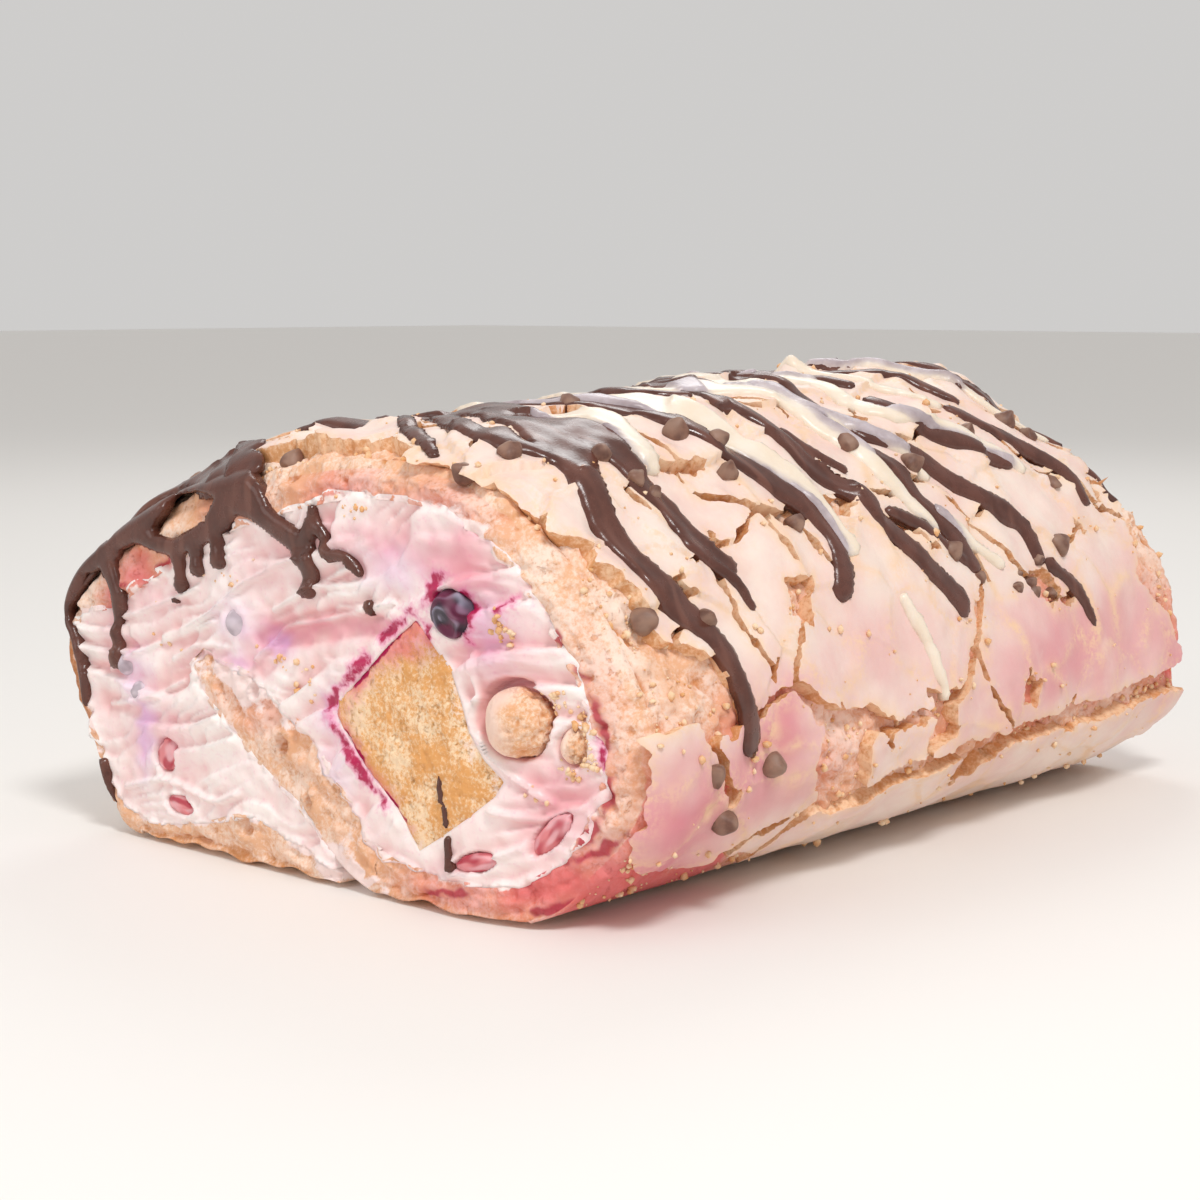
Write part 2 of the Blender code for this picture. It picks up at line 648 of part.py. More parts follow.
def set_piece(name, across, up, depth, half, tilt, part_way, growth=0.0, uneven=0.0):
    """A rounded piece set in the cream near one end, or the pocket for it when it is grown."""
    seat = placed(np.array([[across, up]], float), part_way)[0]
    seat[0] += depth if part_way == 0.0 else -depth
    form = bmesh.new()
    bmesh.ops.create_icosphere(form, subdivisions=2, radius=1.0)
    turn = Euler((-math.radians(tilt), 0.0, 0.0)).to_matrix()
    for vertex in form.verts:
        bump = 1.0 + uneven * noise.noise(vertex.co * BROKEN_LUMPS + Vector((across, up, 0.0)))
        size = Vector((half[2] + growth, half[0] + growth, half[1] + growth)) * bump
        vertex.co = (turn @ Vector(a * b for a, b in zip(vertex.co, size)) + Vector(seat)) * MM
    mesh = bpy.data.meshes.new(name)
    form.to_mesh(mesh)
    form.free()
    return mesh


def finish_named(name):
    colour, roughness = FINISHES[name]
    material = bpy.data.materials.new(name)
    material.use_nodes = True
    shader = material.node_tree.nodes["Principled BSDF"]
    shader.inputs["Base Color"].default_value = (*colour, 1.0)
    shader.inputs["Roughness"].default_value = roughness
    return material


def add_set_pieces(pieces, part_way, cake, pockets, finishes):
    """The berries and meringue pieces at one end, and the pockets that they leave in the cream."""
    for name, (across, up, depth, half, tilt) in pieces.items():
        kind = name.split("_")[0]
        uneven = 0.0 if kind == "blueberry" or "ball" in name else BROKEN_UNEVENNESS
        mesh = set_piece(name, across, up, depth, half, tilt, part_way, 0.0, uneven)
        new_object(name, mesh, cake, finishes[kind])
        if name == "meringue_ball":
            grow, shift_across, shift_up = BALL_HOLLOW
            hollow = set_piece(name, across + shift_across, up + shift_up, depth,
                               [size * grow for size in half], tilt, part_way)
        else:
            hollow = set_piece(name, across, up, depth, half, tilt, part_way, POCKET_ROOM, uneven)
        pocket = new_object(f"pocket_{name}", hollow, pockets)
        pocket.hide_render = True
        pocket.display_type = "WIRE"


def main():
    for old in list(bpy.data.objects):
        bpy.data.objects.remove(old, do_unlink=True)
    collections = {}
    for name in ("meringue_roll", "pockets", "toppings"):
        collections[name] = bpy.data.collections.new(name)
        bpy.context.scene.collection.children.link(collections[name])
    cake = collections["meringue_roll"]
    finishes = {name: finish_named(name) for name in FINISHES}

    sheet = new_object("meringue_sheet", sheet_mesh(), cake)
    add_toppings(sheet, collections["toppings"])
    sheet.data.materials.clear()
    sheet.data.materials.append(finishes["meringue"])

    sponge = np.array(SPONGE, float)
    new_object("sponge_strip", run_through("sponge_strip", [sponge], SPONGE_RELIEF), cake,
               finishes["sponge"])
    cream_outlines = [cream_outline(), grown(sponge, GAP)]
    cream = new_object("cream_filling", run_through("cream_filling", cream_outlines, CREAM_RELIEF),
                       cake, finishes["cream"])
    add_set_pieces(FRONT_PIECES, 0.0, cake, collections["pockets"], finishes)
    add_set_pieces(FAR_PIECES, 1.0, cake, collections["pockets"], finishes)
    hollowed = cream.modifiers.new("pockets", "BOOLEAN")
    hollowed.operation = "DIFFERENCE"
    hollowed.operand_type = "COLLECTION"
    hollowed.collection = collections["pockets"]
    hollowed.solver = "EXACT"
    tidied = cream.modifiers.new("weld", "WELD")
    tidied.merge_threshold = WELD


main()
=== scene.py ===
"""The looks of a rolled meringue log with cream, sponge, berries and chocolate drizzle.

Metres in the frame; the working sizes below are in millimetres. "Along" is measured from the cut
face, "across" from left to right as the cut face is seen, "up" from the ground, and "around" is
the way round the roll from its crest, where the right side is positive.
"""
import math

import bmesh
import bpy
import numpy as np
from mathutils import Matrix, Vector, noise


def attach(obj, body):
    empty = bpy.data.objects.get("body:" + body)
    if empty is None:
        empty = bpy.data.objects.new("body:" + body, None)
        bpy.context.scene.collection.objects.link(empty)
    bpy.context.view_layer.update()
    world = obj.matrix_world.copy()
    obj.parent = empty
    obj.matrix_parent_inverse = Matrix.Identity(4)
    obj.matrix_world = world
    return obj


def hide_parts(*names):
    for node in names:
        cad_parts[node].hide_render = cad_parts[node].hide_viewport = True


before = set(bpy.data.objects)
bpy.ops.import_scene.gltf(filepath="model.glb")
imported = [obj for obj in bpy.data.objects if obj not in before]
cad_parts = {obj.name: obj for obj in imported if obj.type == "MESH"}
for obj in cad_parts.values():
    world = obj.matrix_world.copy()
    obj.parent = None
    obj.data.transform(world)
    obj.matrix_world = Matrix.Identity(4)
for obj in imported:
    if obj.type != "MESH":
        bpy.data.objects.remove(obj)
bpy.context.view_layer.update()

MM = 0.001
LENGTH = 250.0
MIDDLE_ALONG = 122.5
MIDDLE_ACROSS = -42.1

# The meringue sheet's outer skin in section: across, up, and the sheet's thickness there.
ROLL = [(-33, 0, 3), (-46, 0, 7.5), (-66, 0, 12), (-80, 0, 8.5), (-100, 0, 4.5), (-116, 2.5, 5.5),
        (-126, 13, 5.5), (-132, 28, 5), (-138, 46, 6), (-139, 60, 12), (-128, 74, 19), (-103, 88, 19),
        (-76, 97, 16), (-50, 102, 13.5), (-25, 105, 12), (0, 104, 12), (18, 97, 12), (33, 82, 12),
        (44, 65, 13), (52, 48, 14), (54, 34, 14), (50, 20, 14), (38, 8, 11), (24, 1, 9), (8, 0, 8.5),
        (-8, 0, 9), (-21, 0, 11), (-32, 5, 13), (-43, 13, 16), (-55, 21, 18), (-68, 29, 18.5),
        (-80, 38, 15), (-87, 47, 8)]
CREST = (-15.4, 105.2)
FIRST_IN_THE_OPEN = (-108, 0.8)
LAST_IN_THE_OPEN = (24, 1)
# Steps of the sheet's grid: round the roll where it shows and on its left side, and along the roll
# at the cut face and at the far end.
SKIN_STEP = 0.72
LEFT_SIDE = -45.0
LEFT_STEP = 1.7
NEAR_STEP = 0.64
FAR_STEP = 1.15
FACE_ROWS = 22
COARSE_STATIONS = 6
BAND_FOOT = 6.0

# How far the cut slants, how its rim is rounded, and how the far end droops and falls short.
CUT_SLANT = 10.0
CORNER_ROUND = 5.0
CORNER_REACH = 12.0
FAR_DROOP = 8.0
FAR_TOP_SHORT = 13.0
FAR_SHOULDER_SHORT = 9.0
# How much higher the top is at shares of the way along.
TOP_GAIN = [(0.0, -2.5), (0.1, 1.5), (0.25, 3.5), (0.5, 7.0), (0.75, 10.5), (0.9, 9.0), (1.0, 4.0)]

# Routes of the breaks in the crust: along, around, and the gap's width there.
CRACKS = [
    [(60, 141, 3), (66, 128, 5), (82, 125, 5.5), (111, 120, 4.5), (149, 119, 5.5), (186, 118, 6),
     (247, 113, 8)],
    [(34, 101, 2), (51, 95, 2.5), (66, 103, 4), (86, 108, 4), (104, 108, 3), (121, 104, 2.5),
     (132, 94, 3), (140, 84, 2), (150, 72, 1)],
    [(132, 94, 1.6), (133, 103, 1.2), (145, 116, 1.4)],
    [(54, 46, 1), (62, 53, 2.4), (76, 58, 2.6), (82, 70, 1.4), (82, 77, 0.8)],
    [(40, 60, 1), (41, 83, 2), (46, 93, 1.4)],
    [(30, 118, 3), (24, 108, 2.6), (17, 98, 3)],
    [(33, 67, 1.2), (37, 63, 1.6), (50, 58, 1)],
    [(63, 80, 2), (57, 87, 1.6), (51, 95, 1.8)],
    [(189, 88, 1.4), (192, 96, 1.0), (186, 104, 1.2), (178, 116, 1.6)],
    [(136, 84, 0.8), (134, 90, 1), (136, 99, 0.8)],
    [(103, 62, 1), (118, 76, 2.2), (129, 88, 1.2)],
    [(150, 60, 0.8), (164, 84, 2.4), (178, 90, 2), (189, 88, 1.2)],
    [(200, 40, 1), (214, 66, 3), (226, 72, 2.4), (232, 88, 2)],
    [(136, 20, 1), (143, 34, 2.6), (152, 42, 1.2), (170, 38, 0.8)],
    [(176, 0, 0.8), (190, 24, 1.6), (204, 60, 1.2)],
    [(104, 6, 1), (114, 18, 1.6), (120, 34, 0.8)],
    [(54, 20, 1.2), (58, 32, 1.8), (54, 46, 1)],
    [(22, 24, 1), (30, 38, 1.4), (40, 60, 1)],
    [(60, 129, 2), (50, 131, 2.6), (37, 134, 3)],
    [(40, -30, 1.4), (70, -42, 2.6), (118, -38, 2), (160, -50, 2.6), (220, -44, 1.8)],
    [(70, -42, 1.6), (78, -70, 2.2), (66, -100, 1.8), (72, -132, 1.4)],
    [(160, -50, 1.4), (152, -84, 2.4), (170, -118, 1.8), (164, -150, 1.2)],
    [(6, -110, 1.2), (34, -118, 2), (66, -100, 1.6)],
    [(78, -70, 1), (112, -84, 3), (152, -84, 1.4)],
    [(170, -118, 1.6), (204, -96, 3), (240, -104, 1.6)],
    [(20, -150, 1), (90, -158, 2), (150, -152, 2.4), (232, -160, 1.6)],
    [(206, -44, 1), (212, -70, 1.8), (204, -96, 2)],
]
# Places where the crust has come off the crumb: outlines of along and around.
BARE = [
    [(-20, 26), (4, 30), (3, 55), (13, 66), (14, 79), (28, 86), (33, 100), (27, 103), (17, 98), (3, 98),
     (-20, 99)],
    [(-20, 129), (2, 130), (26, 139), (44, 137), (62, 142), (62, 166), (-20, 166)],
    [(50, 95), (60, 97), (65, 102), (82, 102), (89, 107), (81, 112), (82, 123), (66, 124), (58, 114),
     (60, 105)],
    [(108, 103), (116, 103), (117, 114), (106, 118)],
    [(93, 53), (104, 57), (101, 61), (91, 58)],
    [(62, 72), (74, 73), (66, 83), (58, 81)],
    [(166, 82), (174, 82), (181, 88), (171, 91)],
    [(126, 124), (132, 123), (141, 124), (138, 130), (127, 130)],
    [(150, 105), (160, 106), (157, 112), (149, 111)],
    [(143, 27), (151, 32), (145, 35)],
    [(226, 74), (222, 88), (233, 97), (238, 108), (226, 116), (270, 124), (270, 40), (240, 56)],
    [(-20, -128), (6, -126), (12, -112), (10, -96), (16, -84), (12, -66), (-20, -60)],
    [(-20, -60), (7, -54), (10, -40), (6, -24), (9, -8), (5, 4), (-20, 6)],
    [(104, -90), (120, -88), (118, -78), (106, -80)],
    [(198, -102), (214, -98), (210, -89), (200, -90)],
    [(270, -104), (240, -98), (236, -74), (243, -52), (270, -50)],
    [(62, -140), (78, -136), (76, -126), (66, -128)],
]
LOOSE_EDGE = 1.4
# The crust's small plates: their size along and around, and how they step and lean. A plate or a hole
# has at least so many cells of the grid.
PLATE_SIZE = np.array([25.0, 18.0])
PLATE_STEP = 1.5
PLATE_LEAN = 4.4
SMALLEST_PLATE = 80
SMALLEST_HOLE = 24
CRUMB_DEPTH = 2.9
# Layers of unevenness, each with its height, the size of its lumps and a seed.
EDGE_RAGGED = [(1.4, 4.8, 3.0), (0.85, 2.1, 8.0)]
CRUST_STEPS = [(1.1, (10.0, 24.0), 15.0), (0.6, (7.0, 6.0), 17.0)]
CRUMB_LUMPS = [(1.7, 9.0, 21.0), (1.3, 4.2, 4.0), (0.9, 2.0, 6.0)]
FACE_LUMPS = [(1.3, 7.0, 11.0), (1.2, 3.2, 12.0), (0.8, 1.6, 13.0)]
CREAM_EDGE = [(2.6, 7.0, 33.0), (0.8, 3.2, 34.0)]
CREAM_LUMPS = [(1.1, 21.0, 70.0), (0.5, 5.0, 71.0)]
SPONGE_EDGE = [(0.7, 3.4, 88.0), (0.4, 1.5, 89.0)]
SPONGE_LUMPS = [(0.5, 6.0, 81.0), (0.35, 1.7, 83.0)]
CHOCOLATE_EDGE = [(0.45, 6.0, 0.0), (0.3, 2.4, 1.0)]
MERINGUE_CRUMB = [(0.9, 0.4, 1.0), (0.6, 0.16, 4.0)]
FRUIT_LUMPS = [(0.6, 0.8, 0.0), (0.25, 0.3, 2.0)]
# Humps and peaks of the crust: along, around, reach along and around, height.
HUMPS = [(166, -7, 4, 4, 6), (213, 18, 11, 7, 3), (236, 4, 8, 10, 2.5), (118, -2, 10, 8, 1.8),
         (30, -48, 14, 12, 2.2), (52, -20, 9, 9, 1.6), (226, 50, 9, 8, 2), (80, 2, 12, 9, 1.4),
         (190, 54, 12, 8, 1.4), (150, 30, 10, 8, 1.5)]

# Dark chocolate on the crust: along, around and the strand's width there.
DARK = [
    [(48, -36, 7), (46, -14, 9), (40, 2, 13), (36, 14, 15), (42, 24, 11), (38, 36, 7), (41, 50, 6),
     (42, 60, 6), (47, 66, 4.5)],
    [(34, 14, 12), (28, 28, 11), (22, 38, 7.5), (18, 50, 6.2), (19, 62, 5.8), (23, 72, 6.5),
     (29, 82, 5), (32, 92, 3.6), (34, 101, 4.6), (34, 105, 4.4)],
    [(26, -20, 3), (14, -6, 3.6), (8, 4, 3), (4, 11, 1.8)],
    [(40, -24, 4), (30, -10, 5), (19, 5, 5), (16, 16, 5), (14, 25, 2.4)],
    [(20, 16, 5), (17, 24, 4.4), (20, 30, 5)],
    [(38, 60, 3.4), (44, 70, 3), (46, 76, 2.4)],
    [(58, -34, 5), (62, -8, 6), (66, 8, 7), (72, 32, 7), (79, 46, 6.4), (86, 57, 6), (88, 66, 4.6),
     (82, 77, 4.6)],
    [(112, -30, 5), (110, -4, 6), (104, 8, 7), (98, 26, 6), (102, 42, 5.4), (107, 54, 5.2),
     (110, 62, 5.4), (119, 76, 5), (128, 86, 5)],
    [(106, 36, 3.4), (109, 43, 3), (114, 48, 2.4)],
    [(84, -38, 5), (86, -20, 4.6), (85, 5, 4), (92, 14, 3)],
    [(121, -18, 3.4), (121, 6, 4), (132, 17, 4.6), (130, 38, 5), (136, 50, 5), (136, 60, 4.4),
     (139, 67, 4.8), (142, 78, 4.2)],
    [(119, 62, 2.6), (128, 68, 3.2), (138, 76, 2.6)],
    [(134, -44, 5), (138, -8, 5), (138, 16, 4.4), (142, 38, 5), (154, 46, 5.4), (159, 56, 5),
     (163, 62, 4), (168, 67, 4.6)],
    [(160, 27, 4.6), (170, 41, 5), (178, 48, 4.4), (187, 54, 3.4)],
    [(172, -50, 5), (178, -8, 4.6), (184, 4, 5), (191, 14, 4.4), (201, 27, 3.4)],
    [(150, -14, 4), (154, 4, 3.6), (160, 18, 3)],
    [(192, 33, 4), (205, 46, 4.8), (212, 57, 4.2), (211, 67, 3)],
    [(167, 66, 3.4), (174, 72, 4), (174, 79, 3.4)],
    [(208, -50, 4.4), (216, -18, 4.6), (224, 8, 4), (234, 30, 4.6), (243, 54, 4), (247, 60, 2.6)],
    [(196, -20, 3.4), (204, 0, 3), (214, 20, 2.6)],
    [(178, 82, 2.6), (186, 88, 2.8), (190, 96, 2)],
    [(30, -30, 7), (28, -60, 5.5), (36, -88, 6), (33, -108, 3.6), (33, -120, 4.4)],
    [(62, -34, 5), (58, -62, 5.5), (64, -92, 4.6), (60, -106, 4.2)],
    [(84, -38, 6), (90, -66, 6), (86, -92, 5), (94, -116, 3.8), (95, -122, 4.4)],
    [(112, -30, 6), (118, -58, 5), (110, -86, 5), (116, -104, 4.4)],
    [(134, -44, 5.5), (130, -78, 5.6), (138, -104, 4), (139, -112, 4.6)],
    [(160, -30, 5), (166, -62, 5), (158, -92, 5.4), (164, -120, 4)],
    [(188, -30, 5), (196, -58, 5.6), (190, -88, 4.6), (199, -112, 4.2)],
    [(216, -40, 5), (224, -66, 5), (218, -96, 4.6)],
]
# Dark chocolate over the front rim: how far along (below 0 it lies on the cut face), around, width.
RIM_POOLS = [
    [(4, -132, 9), (2, -124, 9), (3, -116, 7)],
    [(3, -108, 9), (5, -99, 12), (9, -92, 8), (11, -84, 8), (9, -74, 10), (5, -64, 13), (3, -53, 9)],
    [(9, -104, 9), (13, -92, 11), (13, -76, 12), (11, -60, 9)],
    [(8, -128, 9), (14, -136, 7), (10, -146, 5), (12, -158, 5), (9, -166, 4.4)],
]
# Dark chocolate on the cut face: across, up and width.
FACE_DARK = [
    [(-113, 78, 6), (-106, 81.5, 9), (-99, 87.5, 8), (-92, 92.5, 6), (-83, 95, 7), (-74, 95, 9),
     (-67, 92.5, 11), (-61, 90.6, 9), (-57, 87.4, 6), (-52, 84.6, 6), (-47.2, 82, 6.2), (-43.4, 79, 6),
     (-41.6, 75, 4.8), (-42.2, 72, 4.2), (-42.4, 70.6, 4.8)],
    [(-104, 80, 6), (-98, 77.8, 5), (-90, 77.2, 4.6), (-84, 79.6, 5), (-77, 82.6, 6), (-71, 88, 8)],
    [(-90, 76, 5), (-89.2, 72, 3), (-89, 70, 2.8), (-89.2, 67.4, 4.2)],
    [(-82.8, 78, 5), (-82.4, 75, 3.8), (-82.1, 72.4, 4.8)],
    [(-75.4, 82, 4.6), (-74.2, 79, 3.8), (-74, 75.2, 4.8)],
    [(-112, 77, 6), (-119, 73, 6), (-126, 69.6, 5), (-131, 65.6, 6), (-134.6, 62.2, 7),
     (-136.6, 58, 4.4), (-137, 54, 3), (-133.6, 50.9, 2.6), (-131.2, 45, 3), (-129.4, 39.4, 3.2),
     (-129, 35, 2.8), (-129.4, 31.8, 1.8)],
    [(-119.6, 73.5, 6), (-117, 69, 5.6), (-115, 65.4, 4.6), (-113.6, 61.1, 5), (-114.8, 56, 3),
     (-115.5, 49, 3.2), (-115.6, 44.4, 4.4)],
    [(-43.8, 82, 4), (-40.7, 86, 4.4), (-38.5, 84.6, 3.2), (-36.4, 82.2, 2.6), (-34.2, 79.4, 3.2),
     (-30, 79.8, 2.6), (-27.2, 77.4, 2.7), (-25.7, 75.8, 1.8)],
    [(-40.7, 86, 3), (-40, 90, 2)],
    [(-122, 17, 2.6), (-120.6, 12, 2.2), (-119, 6, 2.6), (-118.4, 2, 2)],
    [(-22, 68.5, 2.6), (-21.6, 67.2, 2.6)],
    [(-91.4, 63.3, 1.3), (-91.2, 63, 1.3)],
    [(0.4, 30.6, 0.9), (0.7, 27.6, 1.8), (0.9, 25.2, 1.2)],
    [(2.0, 23.8, 1.4), (2.4, 22.6, 1.0), (2.4, 20.2, 1.4)],
    [(2.9, 17, 1.6), (2.6, 13.6, 1.2), (3.1, 10.8, 2.4)],
]
# Crumb that shows through that chocolate: outlines of across and up.
CRUMB_ISLANDS = [
    [(-95.5, 90.1), (-85.8, 90.6), (-77.5, 88.3), (-78.2, 84.7), (-84.9, 83.2), (-89.6, 79.7),
     (-97.7, 80.2), (-94, 84.5)],
    [(-112.8, 74.5), (-106.1, 76.8), (-99, 75.4), (-92, 74.4), (-92.2, 70), (-101.7, 66), (-108, 58),
     (-111.5, 59), (-111.5, 65), (-113.6, 69.2)],
    [(-127.3, 67), (-121, 68.3), (-118.8, 65.1), (-117, 61.5), (-117.3, 53), (-130, 50), (-131.7, 53.4),
     (-134, 55.8), (-130.2, 58.8)],
]

# White chocolate on the crust: along, around and width.
WHITE = [
    [(64, -26, 8), (68, -6, 10), (72, 6, 12), (78, 18, 11), (83, 30, 9), (87, 43, 8.4), (91, 54, 7),
     (92, 68, 5)],
    [(47, 6, 6), (55, 14, 9), (52, 26, 8), (46, 38, 6)],
    [(96, -22, 8), (100, -4, 9), (113, 6, 9), (124, 20, 7), (127, 38, 6.4), (128, 54, 6), (133, 67, 4)],
    [(128, -14, 7), (128, 4, 8), (131, 22, 7), (143, 36, 6), (150, 52, 4)],
    [(140, 64, 3.4), (146, 72, 3.6), (154, 79, 2.6)],
    [(104, 82, 2.4), (109, 93, 3), (112, 104, 2)],
    [(150, 0, 6), (156, 30, 5), (168, 36, 5), (181, 43, 5), (191, 56, 3.6)],
    [(166, -10, 5), (172, 16, 5), (186, 30, 4)],
    [(196, -24, 5), (206, 6, 5), (218, 24, 4), (228, 42, 3)],
    [(66, -26, 8), (74, -54, 6), (70, -82, 5), (76, -104, 3.6)],
    [(98, -22, 8), (104, -50, 6), (98, -76, 5), (102, -92, 3.6)],
    [(142, -20, 7), (148, -54, 6), (142, -84, 4.6)],
    [(178, -30, 6), (184, -62, 5), (178, -90, 3.6)],
]

CHIP_WIDTH = 6.5
CHIP_HEIGHT = 4.3
# Chips: along, around, and their size as a share.
CHIPS = [(2, 22, 1), (12, 26, 1), (34, 34, 1), (37, 42, 0.9), (63, 1, 1), (66, 31, 1.1), (74, 36, 0.9),
         (69, 45, 0.9), (77, 61, 0.9), (13, 73, 1.1), (30, 77, 0.9), (20, 110, 1), (43, 111, 1.05),
         (29, 123, 1.1), (135, 74, 0.9), (126, 42, 0.9), (144, 50, 1), (215, 36, 1.1), (222, 42, 0.9),
         (185, 78, 1.1), (162, 82, 0.7), (170, 84, 0.8), (166, 87, 0.6), (143, 81, 0.6), (173, 80, 0.5),
         (186, 42, 0.8), (202, 62, 0.7), (8, -42, 1), (158, 85, 0.5), (40, 46, 0.6), (176, 88, 0.5),
         (48, -72, 1), (72, -56, 1), (104, -60, 0.9), (112, -98, 1), (148, -70, 1), (176, -78, 0.9),
         (206, -70, 1), (226, -44, 1), (60, -112, 0.9), (20, -92, 0.8)]

SPONGE = [(-6.7, 67.4), (-15.7, 60.5), (-24.9, 51.8), (-33, 44), (-34, 40.5), (-30.4, 35.6),
          (-23.4, 28.4), (-15.4, 22.2), (-11, 17.6), (-6.6, 12), (0.3, 16.2), (8.5, 21.7), (16, 27.6),
          (18.6, 31.8), (13.4, 36.4), (9.6, 42.3), (7.6, 48.7), (4.6, 56), (-0.3, 60.7)]
CREAM_GRID = 0.62
SPONGE_GRID = 0.62
DRIZZLE_GRID = 0.8
FACE_DRIZZLE_GRID = 0.52
# How far a filling's grid reaches past its outline, and the spans of the drizzle's grids: low and
# high along and around, and on the face across and up.
WINDOW_EDGE = 2.0
DARK_WINDOW = (-9.0, 249.0, -172.0, 122.0)
WHITE_WINDOW = (20.0, 249.0, -120.0, 112.0)
FACE_WINDOW = (-142.0, 16.0, 0.0, 103.0)

# Pieces set in the cream at the two ends: across, up, depth of the middle behind the face, half
# sizes across, up and along, and the tilt as the face is seen.
FRONT_PIECES = {
    "meringue_ball": (20.4, 45.0, 2.6, (8.2, 8.2, 8.2), 0),
    "meringue_bit": (33.6, 41.0, 2.4, (3.6, 5.0, 4.8), -8),
    "blueberry_1": (4.5, 69.5, 1.6, (5.4, 6.0, 5.4), 10),
    "blueberry_2": (-69.0, 59.5, 2.4, (4.2, 4.0, 4.0), 0),
    "blueberry_3": (-113.0, 44.0, 1.9, (3.4, 3.2, 3.4), 0),
    "blueberry_4": (-108.0, 37.0, 1.6, (2.9, 2.8, 2.9), 0),
    "strawberry_1": (-97.0, 22.5, 2.2, (4.0, 4.8, 4.0), -20),
    "strawberry_2": (-92.0, 10.4, 2.2, (5.4, 2.4, 4.0), -6),
    "strawberry_3": (28.0, 20.8, 2.4, (7.2, 2.6, 4.4), 45),
    "strawberry_4": (10.0, 12.6, 2.2, (6.6, 2.2, 4.0), 14),
}
VEILED = ("blueberry_2", "blueberry_3", "blueberry_4")
FAR_PIECES = {
    "meringue_ball_far": (26.0, 50.0, 2.2, (6.6, 6.4, 6.6), 0),
    "blueberry_far_1": (-58.0, 75.0, 1.6, (5.2, 5.0, 5.2), 0),
    "blueberry_far_2": (-100.0, 58.0, 1.8, (4.6, 4.4, 4.6), 0),
    "strawberry_far_1": (-104.0, 27.0, 2.0, (4.2, 5.6, 4.2), 15),
    "strawberry_far_2": (6.0, 76.0, 2.0, (6.0, 3.2, 4.2), -20),
}


def smooth(value):
    """0 below 0, 1 above 1, and an even step between."""
    t = np.clip(value, 0.0, 1.0)
    return t * t * (3.0 - 2.0 * t)


def path_through(points, step):
    """Evenly spaced rows along a smooth curve through the points, about a step apart."""
    rows = np.array(points, float)
    rows = np.vstack([2 * rows[0] - rows[1], rows, 2 * rows[-1] - rows[-2]])
    t = np.linspace(0.0, 1.0, 20, endpoint=False)[:, None]
    pieces = []
    for i in range(1, len(rows) - 2):
        a, b, c, d = rows[i - 1:i + 3]
        pieces.append(0.5 * (2 * b + (c - a) * t + (2 * a - 5 * b + 4 * c - d) * t ** 2
                             + (3 * b - a - 3 * c + d) * t ** 3))
    fine = np.vstack(pieces + [rows[-2:-1]])
    run = np.concatenate([[0.0], np.cumsum(np.linalg.norm(np.diff(fine[:, :2], axis=0), axis=1))])
    count = max(int(round(run[-1] / step)) + 1, 2)
    at = np.linspace(0.0, run[-1], count)
    return np.stack([np.interp(at, run, fine[:, k]) for k in range(fine.shape[1])], axis=1)


def lumps(rows, size, seed=0.0):
    """Smooth unevenness between about -1 and 1 at rows of places, with lumps of a given size."""
    places = np.zeros((len(rows), 3))
    places[:, :rows.shape[1]] = rows / np.asarray(size, float)
    places[:, 2] += seed
    return np.array([noise.noise(place) for place in places.tolist()])


def uneven(rows, layers, shift=0.0):
    """Layers of unevenness added up: each has a height, a lump size and a seed."""
    return sum(height * lumps(rows, size, seed + shift) for height, size, seed in layers)


def wandering(rows, size, first_seed, second_seed):
    """Two columns of unevenness that bend rows of places."""
    return np.stack([lumps(rows, size, first_seed), lumps(rows, size, second_seed)], axis=1)


def pits(rows, size, seed=0.0):
    """Round pits: 1 in the middle of a pit and 0 at its rim, with pits about a size apart."""
    places = np.zeros((len(rows), 3))
    places[:, :rows.shape[1]] = rows / np.asarray(size, float)
    places[:, 2] += seed
    near = np.array([noise.voronoi(place)[0][0] for place in places.tolist()])
    return smooth(1.0 - near / 0.42)


def distance_to(rows, route):
    """Each place's distance from a route less half the route's width there."""
    best = np.full(len(rows), 1.0e6)
    for start, end in zip(route[:-1], route[1:]):
        run = end[:2] - start[:2]
        share = np.clip(((rows - start[:2]) @ run) / (run @ run), 0.0, 1.0)
        apart = np.linalg.norm(rows - start[:2] - share[:, None] * run, axis=1)
        best = np.minimum(best, apart - 0.5 * (start[2] + (end[2] - start[2]) * share))
    return best


def outline_distance(rows, outline):
    """Distance from a closed outline, positive within it."""
    corners = np.asarray(outline, float)
    best = np.full(len(rows), 1.0e6)
    within = np.zeros(len(rows), bool)
    for start, end in zip(corners, np.roll(corners, -1, axis=0)):
        run = end - start
        share = np.clip(((rows - start) @ run) / (run @ run), 0.0, 1.0)
        best = np.minimum(best, np.linalg.norm(rows - start - share[:, None] * run, axis=1))
        crosses = (start[1] > rows[:, 1]) != (end[1] > rows[:, 1])
        height = np.where(end[1] == start[1], 1.0, end[1] - start[1])
        within ^= crosses & (rows[:, 0] < start[0] + (rows[:, 1] - start[1]) * run[0] / height)
    return np.where(within, best, -best)


